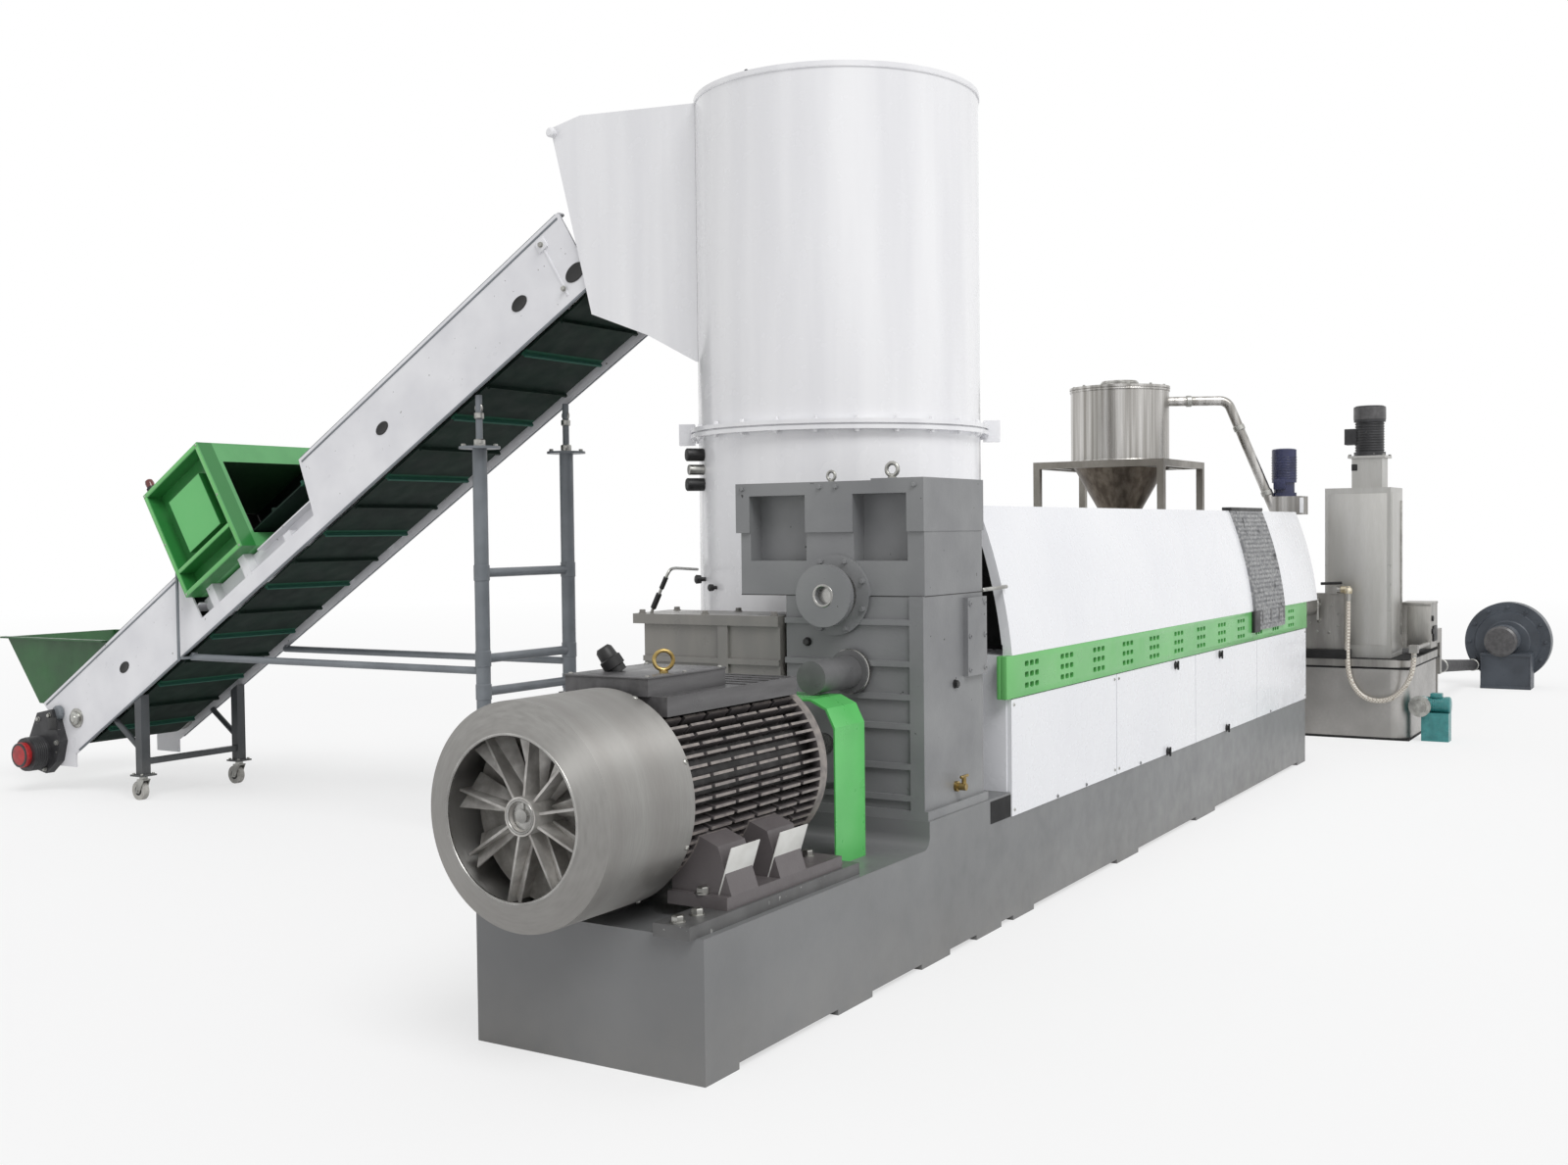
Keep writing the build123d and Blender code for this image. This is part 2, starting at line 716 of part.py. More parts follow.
def gearbox_lower():
    front = GEAR_FRONT_X
    ribs_x = front - RIB_STEP
    whole = slab(front, GEAR_BACK_X, GEAR_RIGHT_Y, GEAR_LOW_LEFT_Y, BED_HIGH_TOP, GEAR_SPLIT_Z)
    for z in RIB_LEVELS:
        whole += slab(ribs_x, front, PILASTER_Y, GEAR_LOW_LEFT_Y, z - RIB_THICK / 2, z + RIB_THICK / 2)
    whole += slab(ribs_x, front, GEAR_RIGHT_Y, PILASTER_Y, BED_HIGH_TOP, GEAR_SPLIT_Z)
    lip = GEAR_FOOT_LIP
    foot_top = BED_HIGH_TOP + GEAR_FOOT_HEIGHT
    whole += slab(front - lip, GEAR_BACK_X + lip, GEAR_RIGHT_Y - lip, GEAR_LOW_LEFT_Y, BED_HIGH_TOP, foot_top)
    whole += rod_x(SHAFT_BOSS_RADIUS, front - GEAR_BOSS, front, 0, SHAFT_Z)
    panel_y = GEAR_RIGHT_Y - SIDE_PANEL_STEP
    whole += slab(SIDE_PANEL_X0, SIDE_PANEL_X1, panel_y, GEAR_RIGHT_Y, SIDE_PANEL_Z0, SIDE_PANEL_Z1)
    return whole - rod_x(SHAFT_RADIUS + SHAFT_GAP, front - 2 * GEAR_BOSS, front, 0, SHAFT_Z)


def gearbox_upper():
    front = GEAR_FRONT_X
    lip = GEAR_CAP_LIP
    side = GEAR_CAP_SIDE_LIP
    whole = slab(front, GEAR_BACK_X, GEAR_RIGHT_Y, GEAR_LEFT_Y, GEAR_SPLIT_Z, GEAR_CAP_Z)
    whole += slab(front - lip, GEAR_BACK_X + lip, GEAR_RIGHT_Y - 3, GEAR_LEFT_Y + side, GEAR_CAP_Z, GEAR_TOP_Z)
    step_top = GEAR_TOP_Z + GEAR_TOP_STEP
    whole += slab(front - lip, GEAR_BACK_X + lip, GEAR_RIGHT_Y - 3, GEAR_TOP_STEP_Y, GEAR_TOP_Z, step_top)
    pocket_x = front + POCKET_DEPTH
    whole -= slab(front - 2 * lip, pocket_x, POCKET_LEFT_Y0, POCKET_LEFT_Y1, POCKET_Z0, POCKET_Z1)
    whole -= slab(front - 2 * lip, pocket_x, POCKET_RIGHT_Y0, POCKET_RIGHT_Y1, POCKET_Z0, POCKET_Z1)
    return whole


def output_cover():
    front = GEAR_FRONT_X
    face = front - OUTPUT_REACH
    cover = rod_x(OUTPUT_FLANGE_RADIUS, front - OUTPUT_FLANGE_THICK, front, SCREW_Y, SCREW_Z)
    cover += rod_x(OUTPUT_NECK_RADIUS, face + OUTPUT_DISC_THICK, front - OUTPUT_FLANGE_THICK, SCREW_Y, SCREW_Z)
    cover += rod_x(OUTPUT_DISC_RADIUS, face, face + OUTPUT_DISC_THICK, SCREW_Y, SCREW_Z)
    cover -= rod_x(OUTPUT_BORE_RADIUS, face - 1, face + OUTPUT_BORE_DEPTH, SCREW_Y, SCREW_Z)
    return cover - slab(front - RIB_STEP, front, GEAR_RIGHT_Y, GEAR_LOW_LEFT_Y, 0, GEAR_SPLIT_Z)


def oil_pump():
    front = GEAR_FRONT_X - RIB_STEP
    pump = rod_x(OIL_PUMP_COLLAR_RADIUS, front - OIL_PUMP_COLLAR, front, OIL_PUMP_Y, OIL_PUMP_Z)
    return pump + rod_x(OIL_PUMP_RADIUS, OIL_PUMP_END_X, front - OIL_PUMP_COLLAR, OIL_PUMP_Y, OIL_PUMP_Z)


def drive_housing():
    block = plan_profile([
        (DRIVE_FRONT_X, DRIVE_RIGHT_Y),
        (DRIVE_BLOCK_BACK_X, DRIVE_RIGHT_Y),
        (DRIVE_BLOCK_BACK_X, DRIVE_BLOCK_LEFT_Y),
        (DRIVE_FRONT_X, DRIVE_LEFT_Y),
    ], 0, DRIVE_TOP_Z)
    rear = plan_profile([
        (DRIVE_BLOCK_BACK_X, DRIVE_RIGHT_Y),
        (DRIVE_STEP_X, DRIVE_RIGHT_Y),
        (DRIVE_STEP_X, DRIVE_REAR_RIGHT_Y),
        (DRIVE_BACK_X, DRIVE_REAR_RIGHT_Y),
        (DRIVE_BACK_X, DRIVE_REAR_LEFT_Y),
        (DRIVE_CORNER_X, DRIVE_REAR_LEFT_Y),
        (DRIVE_BLOCK_BACK_X, DRIVE_BLOCK_LEFT_Y),
    ], 0, DRIVE_REAR_TOP_Z)
    step_x = DRIVE_FRONT_X - DRIVE_RIB_STEP
    beside_bed = BED_WIDTH / 2 + DRIVE_BED_GAP
    rib = slab(step_x, DRIVE_FRONT_X, DRIVE_RIGHT_Y, DRIVE_LEFT_Y, DRIVE_RIB_Z - DRIVE_RIB / 2, DRIVE_RIB_Z + DRIVE_RIB / 2)
    post = slab(step_x, DRIVE_FRONT_X, DRIVE_POST_Y0, DRIVE_POST_Y1, BED_HIGH_TOP, DRIVE_TOP_Z)
    room = slab(step_x - 1, DRIVE_STEP_X + 1, DRIVE_RIGHT_Y - 1, beside_bed, -1, BED_HIGH_TOP)
    return block + rear + rib + post - room


def drive_lid():
    lip = DRIVE_LID_LIP
    return plan_profile([
        (DRIVE_FRONT_X - DRIVE_LID_FRONT_LIP, DRIVE_RIGHT_Y),
        (DRIVE_BLOCK_BACK_X, DRIVE_RIGHT_Y),
        (DRIVE_BLOCK_BACK_X, DRIVE_BLOCK_LEFT_Y + lip),
        (DRIVE_FRONT_X - DRIVE_LID_FRONT_LIP, DRIVE_LEFT_Y + lip),
    ], DRIVE_TOP_Z, DRIVE_TOP_Z + DRIVE_LID_THICK)


TOWER_LOW_Z = DRIVE_REAR_TOP_Z + TOWER_FLOOR_THICK
UPPER_Z0 = TOWER_FLANGE_Z + TOWER_FLANGE_HEIGHT
HOOD_NEAR_X = CONV_NEAR_X - HOOD_GAP - HOOD_WALL
HOOD_FAR_X = CONV_FAR_X + HOOD_GAP + HOOD_WALL


def tower_floor():
    return rod_z(TOWER_RADIUS, DRIVE_REAR_TOP_Z, TOWER_LOW_Z, TOWER_X, TOWER_Y)


def tower_lower():
    return tube_z(TOWER_RADIUS, TOWER_WALL, TOWER_LOW_Z, TOWER_FLANGE_Z, TOWER_X, TOWER_Y)


def tower_flange():
    lip = TOWER_RADIUS + TOWER_FLANGE_LIP
    middle = (TOWER_FLANGE_Z + UPPER_Z0) / 2
    groove = TOWER_FLANGE_GROOVE
    inner = lip - 2 * groove
    ring = tube_z(lip, lip - TOWER_RADIUS + TOWER_WALL, TOWER_FLANGE_Z, middle - groove / 2, TOWER_X, TOWER_Y)
    ring += tube_z(inner, inner - TOWER_RADIUS + TOWER_WALL, middle - groove / 2, middle + groove / 2, TOWER_X, TOWER_Y)
    ring += tube_z(lip, lip - TOWER_RADIUS + TOWER_WALL, middle + groove / 2, UPPER_Z0, TOWER_X, TOWER_Y)
    half = TOWER_LUG_WIDTH / 2
    lug = slab(lip - TOWER_LUG_OVERLAP, lip + TOWER_LUG_REACH, -half, half, TOWER_FLANGE_Z - half, UPPER_Z0 + half)
    for angle in TOWER_LUG_ANGLES:
        ring += Pos(TOWER_X, TOWER_Y, 0) * Rot(0, 0, angle) * lug
    return ring


def hood_inlet():
    """The opening through the upper shell into the hood."""
    near = CONV_NEAR_X + HOOD_WALL
    far = CONV_FAR_X - HOOD_WALL
    reach = TOWER_Y + TOWER_RADIUS + HOOD_WALL
    return slab(near, far, TOWER_Y, reach, CONV_HEAD_Z + INLET_LOW_Z, TOWER_TOP_Z - INLET_TOP_DROP)


def tower_upper():
    return tube_z(TOWER_RADIUS, TOWER_WALL, UPPER_Z0, TOWER_TOP_Z, TOWER_X, TOWER_Y) - hood_inlet()


def tower_roof():
    return rod_z(TOWER_RADIUS + TOWER_ROOF_LIP, TOWER_TOP_Z, TOWER_TOP_Z + TOWER_ROOF_THICK, TOWER_X, TOWER_Y)


def hood_outline(wall):
    """The hood's side as (y, z) points, moved in by a wall and open at its mouth and at the tower."""
    mouth = CONV_HEAD_Y + (HOOD_MOUTH_TOP_Y if wall else 0)
    back = TOWER_Y + HOOD_INTO_TOWER - 5 * wall
    return [
        (mouth + HOOD_MOUTH_TOP_Y, TOWER_TOP_Z + HOOD_MOUTH_RISE - 1.2 * wall),
        (CONV_HEAD_Y + HOOD_PEAK_Y, TOWER_TOP_Z + HOOD_PEAK_RISE - 1.2 * wall),
        (back, TOWER_TOP_Z - HOOD_BACK_DROP - 1.2 * wall),
        (back, CONV_HEAD_Z + HOOD_BACK_LOW_Z),
        (CONV_HEAD_Y + HOOD_KNEE_LOW_Y, CONV_HEAD_Z + HOOD_KNEE_LOW_Z + 1.2 * wall),
        (CONV_HEAD_Y + HOOD_KNEE_HIGH_Y, CONV_HEAD_Z + HOOD_KNEE_HIGH_Z + 1.2 * wall),
        (CONV_HEAD_Y + HOOD_MOUTH_LOW_Y, CONV_HEAD_Z + HOOD_MOUTH_LOW_Z + 1.2 * wall),
    ] + ([(mouth + HOOD_MOUTH_TOP_Y, CONV_HEAD_Z + HOOD_MOUTH_LOW_Z + 6 * wall)] if wall else [])


def feed_hood():
    outer = end_profile(hood_outline(0), HOOD_NEAR_X, HOOD_FAR_X)
    inner = end_profile(hood_outline(HOOD_WALL), HOOD_NEAR_X + HOOD_WALL, HOOD_FAR_X - HOOD_WALL)
    tower = rod_z(TOWER_RADIUS + 0.5, UPPER_Z0, TOWER_TOP_Z + TOWER_RADIUS, TOWER_X, TOWER_Y)
    roof = rod_z(TOWER_RADIUS + TOWER_ROOF_LIP + 1, TOWER_TOP_Z - 1, TOWER_TOP_Z + TOWER_RADIUS, TOWER_X, TOWER_Y)
    return outer - inner - tower - roof


def plate_outline():
    """A side plate's outline, with the notch that lets the detector's frame through."""
    return [
        (CONV_TAIL_LOW, CONV_PLATE_LOW),
        (CONV_LENGTH - CONV_HEAD_CHAMFER, CONV_PLATE_LOW),
        (CONV_LENGTH, CONV_PLATE_LOW + CONV_HEAD_CHAMFER),
        (CONV_LENGTH, CONV_PLATE_HIGH),
        (NOTCH_UPHILL_HIGH, CONV_PLATE_HIGH),
        (NOTCH_UPHILL_LOW, NOTCH_LOW),
        (NOTCH_DOWNHILL, NOTCH_LOW),
        (NOTCH_DOWNHILL, CONV_PLATE_HIGH),
        (CONV_TAIL_TOP, CONV_PLATE_HIGH),
    ]


def conveyor_plate(x_web, inward):
    far = x_web + inward * CONV_PLATE
    flange = x_web + inward * CONV_FLANGE
    x0, x1 = sorted((x_web, far))
    f0, f1 = sorted((x_web, flange))
    plate = belt_solid(plate_outline(), x0, x1)
    high = CONV_PLATE_HIGH
    plate += belt_block(CONV_TAIL_TOP, NOTCH_DOWNHILL, high - CONV_PLATE, high, f0, f1)
    plate += belt_block(NOTCH_UPHILL_HIGH, CONV_LENGTH, high - CONV_PLATE, high, f0, f1)
    return plate + slab(x0, x1, TAIL_Y + TAKE_UP_Y0, TAIL_Y + TAKE_UP_Y1, TAIL_Z + TAKE_UP_Z0, TAIL_Z + TAKE_UP_Z1)


def conveyor_plate_far():
    """The far plate with the cross members that carry the belt's bed and the detector."""
    plate = conveyor_plate(CONV_FAR_X, -1)
    pan_low = NOTCH_LOW / 2
    pan_high = DETECTOR_BOTTOM - CONV_PLATE
    plate += belt_block(NOTCH_DOWNHILL, NOTCH_UPHILL_LOW, pan_low, pan_high, CONV_NEAR_X + BELT_INSET, CONV_FAR_X - BELT_INSET)
    for along in SUPPORT_BARS:
        plate += belt_block(along, along + SUPPORT_BAR, NOTCH_LOW - SUPPORT_BAR, pan_low, PLATE_NEAR_IN, CONV_FAR_X)
    plate += belt_block(SUPPORT_BARS[0], SUPPORT_BARS[0] + SUPPORT_BAR, pan_low, DETECTOR_BOTTOM, PLATE_NEAR_IN, PLATE_FAR_IN)
    plate += belt_block(SUPPORT_BARS[1], SUPPORT_BARS[1] + SUPPORT_BAR, pan_low, DETECTOR_BOTTOM, PLATE_NEAR_IN, PLATE_FAR_IN)
    return plate


def conveyor_belt():
    x0 = CONV_NEAR_X + BELT_INSET
    x1 = CONV_FAR_X - BELT_INSET
    run = CONV_LENGTH - ROLLER_HEAD - ROLLER_TAIL
    y, z = belt_point(ROLLER_TAIL, BELT_MIDDLE)
    plane = Plane(origin=(x0, y, z), x_dir=(0, -math.cos(SLOPE), math.sin(SLOPE)), z_dir=(-1, 0, 0))
    top = ROLLER_RADIUS + BELT_THICK
    loop = SlotCenterToCenter(run, 2 * top) - SlotCenterToCenter(run, 2 * ROLLER_RADIUS)
    band = extrude(plane * Pos(run / 2, 0) * loop, -(x1 - x0))
    pitch = run / CLEAT_COUNT
    for n in range(CLEAT_COUNT):
        a = ROLLER_TAIL + pitch * (n + 0.5)
        for side in (-1, 1):
            b0, b1 = sorted((BELT_MIDDLE + side * (top - 2), BELT_MIDDLE + side * (top + CLEAT_HEIGHT)))
            band += belt_block(a, a + CLEAT_THICK, b0, b1, x0, x1)
    return band


def belt_rollers():
    rollers = []
    for along in (ROLLER_TAIL, CONV_LENGTH - ROLLER_HEAD):
        y, z = belt_point(along, BELT_MIDDLE)
        rollers.append(rod_x(ROLLER_RADIUS - 0.3, PLATE_NEAR_IN, PLATE_FAR_IN, y, z))
    return rollers


def tail_gearmotor():
    y = TAIL_Y + GEARMOTOR_Y
    z = TAIL_Z + GEARMOTOR_Z
    case_x = CONV_NEAR_X - GEARMOTOR_CASE_THICK
    case = end_profile([(TAIL_Y + dy, TAIL_Z + dz) for dy, dz in GEARMOTOR_CASE], case_x, CONV_NEAR_X)
    cap_x = case_x - GEARMOTOR_LENGTH
    motor = rod_x(GEARMOTOR_RADIUS, cap_x, case_x, y, z)
    return case + motor + rod_x(GEARMOTOR_CAP_RADIUS, cap_x - GEARMOTOR_CAP, cap_x, y, z)


def feed_hopper():
    top = TAIL_Z + HOPPER_RIM_RISE
    tail_y = TAIL_Y + HOPPER_TAIL_REACH
    foot_y = TAIL_Y + HOPPER_FOOT_REACH
    low_y, low_z = belt_point(CONV_TAIL_TOP, CONV_PLATE_HIGH)
    rise_y = low_y - (top - low_z) / math.tan(SLOPE)
    w = HOPPER_WALL
    lip = HOPPER_LIP
    body = end_profile([(rise_y, top), (tail_y, top), (foot_y, low_z), (low_y, low_z)], CONV_NEAR_X, CONV_FAR_X)
    body -= end_profile([
        (rise_y - lip, top + lip),
        (tail_y + 2 * w, top + lip),
        (foot_y - w, low_z + w),
        (low_y - 2 * w, low_z + w),
        (low_y - 2 * lip, low_z - lip),
        (rise_y - 2 * lip, top - lip),
    ], CONV_NEAR_X + w, CONV_FAR_X - w)
    rim = slab(CONV_NEAR_X - lip, CONV_FAR_X + lip, rise_y + lip / 2, tail_y + lip / 2, top - w, top)
    rim -= slab(CONV_NEAR_X + w, CONV_FAR_X - w, rise_y - lip, tail_y - w, top - lip, top + lip)
    return body + rim


def detector_housing():
    x0 = CONV_NEAR_X - DETECTOR_SIDE
    x1 = CONV_FAR_X + DETECTOR_SIDE
    a0 = DETECTOR_START
    a1 = a0 + DETECTOR_LENGTH
    low = DETECTOR_BOTTOM
    border = DETECTOR_BORDER
    edge = DETECTOR_EDGE
    ring = belt_block(a0, a1, low, DETECTOR_TOP, x0, x1)
    ring -= belt_block(a0 - 1, a1 + 1, low + DETECTOR_SILL, DETECTOR_TOP - border, x0 + border, x1 - border)
    panel = (a0 + DETECTOR_PANEL_FROM, a0 + DETECTOR_PANEL_TO, low + DETECTOR_PANEL_LOW, low + DETECTOR_PANEL_HIGH)
    for x, inward in ((x0, 1), (x1, -1)):
        s0, s1 = sorted((x - inward, x + inward * DETECTOR_RECESS))
        p0, p1 = sorted((x + inward * DETECTOR_RECESS * 0.4, x + inward * DETECTOR_RECESS))
        ring -= belt_block(a0 + edge, a1 - edge, low + DETECTOR_RIB_HIGH, DETECTOR_TOP - edge, s0, s1)
        ring -= belt_block(a0 + edge, a1 - edge, low + edge, low + DETECTOR_RIB_LOW, s0, s1)
        ring += belt_block(*panel, p0, p1)
    return ring


def plate_bottom_z(y):
    """Height of the side plates' lower edge at a given Y."""
    edge_y, edge_z = belt_point(0, CONV_PLATE_LOW)
    return edge_z + (edge_y - y) * math.tan(SLOPE)


def low_legs():
    half = LOW_LEG_SIZE / 2
    foot = LOW_FOOT_HALF
    y0 = LOW_LEG_Y - half
    y1 = LOW_LEG_Y + half
    top_y = LOW_LEG_Y + LOW_BRACE_REACH
    bar_z = LOW_CROSSBAR_Z - BRACE_RADIUS
    frame = slab(CASTER_NEAR_X, CASTER_FAR_X, LOW_LEG_Y - BRACE_RADIUS, LOW_LEG_Y + BRACE_RADIUS, bar_z, bar_z + 2 * BRACE_RADIUS)
    for x in (CASTER_NEAR_X, CASTER_FAR_X):
        frame += end_profile([
            (y0, CASTER_HEIGHT), (y1, CASTER_HEIGHT), (y1, plate_bottom_z(y1)), (y0, plate_bottom_z(y0)),
        ], x - half, x + half)
        frame += slab(x - foot, x + foot, LOW_LEG_Y - foot, LOW_LEG_Y + foot, CASTER_HEIGHT, CASTER_HEIGHT + 10)
        frame += strut(BRACE_RADIUS, (x, LOW_LEG_Y + half / 2, LOW_BRACE_Z), (x, top_y, plate_bottom_z(top_y) - 2))
    return frame


def tall_legs():
    r = TALL_LEG_RADIUS
    near = CONV_NEAR_X + r
    far = CONV_FAR_X - r
    top = TALL_LEG_TOP_Z
    disc = TALL_DISC_THICK
    post_y = TIE_BAR_END_Y - TIE_BAR_RADIUS
    frame = rod_x(RUNG_RADIUS, near, far, TALL_LEG_Y, TALL_RUNGS_Z[0])
    for z in TALL_RUNGS_Z[1:]:
        frame += rod_x(RUNG_RADIUS, near, far, TALL_LEG_Y, z)
    for x in (near, far):
        frame += rod_z(r, disc, top, x, TALL_LEG_Y)
        frame += rod_z(TALL_DISC_RADIUS, 0, disc, x, TALL_LEG_Y)
        frame += rod_z(TALL_DISC_RADIUS, top, top + disc, x, TALL_LEG_Y)
        frame += rod_z(BRACE_RADIUS, top, plate_bottom_z(TALL_LEG_Y + BRACE_RADIUS), x, TALL_LEG_Y)
        frame += rod_y(TIE_BAR_RADIUS, TALL_LEG_Y, TIE_BAR_END_Y, x, TIE_BAR_Z)
        frame += rod_z(BRACE_RADIUS, TIE_BAR_Z, plate_bottom_z(post_y + BRACE_RADIUS), x, post_y)
    stay_y = TAIL_Y - STAY_FROM_TAIL
    frame += rod_z(STAY_RADIUS, TIE_BAR_Z - 2 * STAY_RADIUS, STAY_TOP_Z, STAY_X, stay_y)
    return frame + slab(STAY_X, near, post_y, stay_y + STAY_RADIUS, TIE_BAR_Z - STAY_RADIUS, TIE_BAR_Z + STAY_RADIUS / 2)


def caster_fork(x):
    y = LOW_LEG_Y
    arm_top = WHEEL_RADIUS * 2 + 6
    half = WHEEL_WIDTH / 2 + CASTER_SIDE_GAP
    fork = slab(x - half - 5, x + half + 5, y - 30, y + 30, arm_top, arm_top + 8)
    fork += rod_z(24, arm_top + 8, CASTER_HEIGHT - SWIVEL_GAP, x, y)
    for side in (-1, 1):
        x0 = x + side * half - (5 if side < 0 else 0)
        fork += end_profile([
            (y - 30, arm_top + 4), (y + 30, arm_top + 4),
            (y + WHEEL_TRAIL + 18, WHEEL_RADIUS - 16), (y + WHEEL_TRAIL - 18, WHEEL_RADIUS - 16),
        ], x0, x0 + 5)
    return fork + rod_x(8, x - half - 8, x + half + 8, y + WHEEL_TRAIL, WHEEL_RADIUS)


def caster_wheel(x):
    half = WHEEL_WIDTH / 2
    wheel = rod_x(WHEEL_RADIUS, x - half, x + half, LOW_LEG_Y + WHEEL_TRAIL, WHEEL_RADIUS)
    return wheel - rod_x(8.5, x - WHEEL_WIDTH, x + WHEEL_WIDTH, LOW_LEG_Y + WHEEL_TRAIL, WHEEL_RADIUS)


def cover_solid(shrink, x0, x1):
    """The cover's section, moved in by a wall, drawn along X."""
    side = COVER_SIDE_Y + shrink
    top = COVER_TOP_Z - shrink
    top_y = COVER_TOP_Y + shrink * 0.6
    outline = ThreePointArc((side, BAND_Z1), (side + COVER_BULGE_Y, COVER_BULGE_Z), (top_y, top))
    outline += Line((top_y, top), (COVER_SPLIT_Y, top))
    outline += Line((COVER_SPLIT_Y, top), (COVER_SPLIT_Y, BAND_Z1))
    outline += Line((COVER_SPLIT_Y, BAND_Z1), (side, BAND_Z1))
    plane = Plane(origin=(x0, 0, 0), x_dir=(0, 1, 0), z_dir=(1, 0, 0))
    return extrude(plane * make_face(outline), x1 - x0)


def cover_shell(near_x):
    """One half of the long cover, open at its near end, below and towards the other half."""
    w = COVER_WALL
    far = COVER_FAR_X - w
    shell = cover_solid(0, near_x, COVER_FAR_X) - cover_solid(w, near_x - 1, far)
    shell -= slab(near_x - 1, far, COVER_SIDE_Y + w, COVER_SPLIT_Y + 1, BAND_Z1 - 1, BAND_Z1 + w)
    return shell - slab(near_x - 1, far, COVER_SPLIT_Y - 2 * w, COVER_SPLIT_Y + 1, BAND_Z1, COVER_TOP_Z - w)


def cover_hood():
    return cover_shell(COVER_NEAR_X)


def back_cover():
    return mirror(cover_shell(BACK_COVER_X), about=Plane(origin=(0, COVER_SPLIT_Y, 0), z_dir=(0, 1, 0)))


def cabinet():
    return slab(CABINET_FRONT_X, BED_FAR_X, -CABINET_HALF, CABINET_HALF - CABINET_BACK_INSET, PANEL_BOTTOM_Z, BAND_Z1)


def cabinet_panels():
    width = (BED_FAR_X - CABINET_FRONT_X) / PANEL_COUNT
    gap = PANEL_GAP
    panels = []
    for n in range(PANEL_COUNT):
        x0 = CABINET_FRONT_X + n * width + gap / 2
        panels.append(slab(x0, x0 + width - gap, -CABINET_HALF - PANEL_THICK, -CABINET_HALF, PANEL_BOTTOM_Z, BAND_Z0 - gap / 2))
    return panels


def vent_band():
    band = slab(BAND_NEAR_X, BED_FAR_X, -CABINET_HALF - BAND_THICK, -CABINET_HALF, BAND_Z0, BAND_Z1)
    return band + slab(BAND_NEAR_X, CABINET_FRONT_X, -CABINET_HALF, -CABINET_HALF + BAND_RETURN, BAND_Z0, BAND_Z1)


def barrel():
    tube = rod_x(BARREL_RADIUS, GEAR_BACK_X, COVER_FAR_X - COVER_WALL, SCREW_Y, SCREW_Z)
    return tube - rod_z(TOWER_RADIUS + FEED_THROAT_GAP, DRIVE_REAR_TOP_Z, TOWER_FLANGE_Z, TOWER_X, TOWER_Y)


def cover_strap():
    outer = cover_solid(-STRAP_THICK, STRAP_START_X, STRAP_END_X)
    inner = cover_solid(0, STRAP_START_X - 1, STRAP_END_X + 1)
    side = COVER_SIDE_Y - STRAP_THICK
    keep = slab(STRAP_START_X, STRAP_END_X, side - 1, STRAP_TOP_Y, BAND_Z1, COVER_TOP_Z + STRAP_THICK + 1)
    return (outer - inner & keep) + slab(STRAP_START_X, STRAP_END_X, side, COVER_SIDE_Y, STRAP_BOTTOM_Z, BAND_Z1)


def silo_shell():
    return tube_z(SILO_RADIUS, SILO_WALL, SILO_BOTTOM_Z, SILO_TOP_Z, SILO_X, SILO_Y)


def silo_cone():
    w = SILO_WALL
    return turned_z([
        (SILO_RADIUS, SILO_BOTTOM_Z),
        (SILO_SPOUT_RADIUS, SILO_CONE_Z),
        (SILO_SPOUT_RADIUS, SILO_SPOUT_Z),
        (SILO_SPOUT_RADIUS - w, SILO_SPOUT_Z),
        (SILO_SPOUT_RADIUS - w, SILO_CONE_Z),
        (SILO_RADIUS - w, SILO_BOTTOM_Z),
    ], SILO_X, SILO_Y)


def silo_lid():
    port_z = SILO_TOP_Z + SILO_LID_THICK
    lid = rod_z(SILO_RADIUS + SILO_LID_LIP, SILO_TOP_Z, port_z, SILO_X, SILO_Y)
    return lid + rod_z(SILO_PORT_RADIUS, port_z, port_z + SILO_PORT_HEIGHT, SILO_X, SILO_Y)


def silo_stand():
    h = SILO_STAND_HALF
    leg = SILO_LEG
    top = SILO_BOTTOM_Z
    stand = None
    for sx in (-1, 1):
        for sy in (-1, 1):
            x = SILO_X + sx * (h - leg / 2)
            y = SILO_Y + sy * (h - leg / 2)
            post = slab(x - leg / 2, x + leg / 2, y - leg / 2, y + leg / 2, 0, top)
            stand = post if stand is None else stand + post
    for z in (SILO_RING_Z, top - leg):
        for s in (-1, 1):
            a = s * (h - leg / 2)
            stand += slab(SILO_X - h, SILO_X + h, SILO_Y + a - leg / 2, SILO_Y + a + leg / 2, z, z + leg)
            stand += slab(SILO_X + a - leg / 2, SILO_X + a + leg / 2, SILO_Y - h, SILO_Y + h, z, z + leg)
    for s in (-1, 1):
        y = SILO_Y + s * SILO_BEARER_Y
        stand += slab(SILO_X - h, SILO_X + h, y - leg / 2, y + leg / 2, top - leg, top)
    return stand - rod_z(SILO_RADIUS + 0.5, top - leg - 1, top + 1, SILO_X, SILO_Y)


def drying_column():
    column = slab(COLUMN_X - COLUMN_HALF, COLUMN_X + COLUMN_HALF, COLUMN_Y0, COLUMN_Y1, 0, COLUMN_HEAD_Z0)
    half = COLUMN_HEAD_HALF
    return column + slab(COLUMN_X - half, COLUMN_X + half, COLUMN_HEAD_Y0, COLUMN_Y1, COLUMN_HEAD_Z0, COLUMN_TOP_Z)


def column_motor():
    r = COLUMN_MOTOR_RADIUS
    neck = COLUMN_MOTOR_NECK
    z = COLUMN_TOP_Z
    motor = rod_z(r, z, z + 2 * neck, COLUMN_X, COLUMN_Y)
    motor += rod_z(r - neck, z + 2 * neck, z + r + neck, COLUMN_X, COLUMN_Y)
    return motor + rod_z(r, z + r + neck, COLUMN_MOTOR_TOP_Z, COLUMN_X, COLUMN_Y)


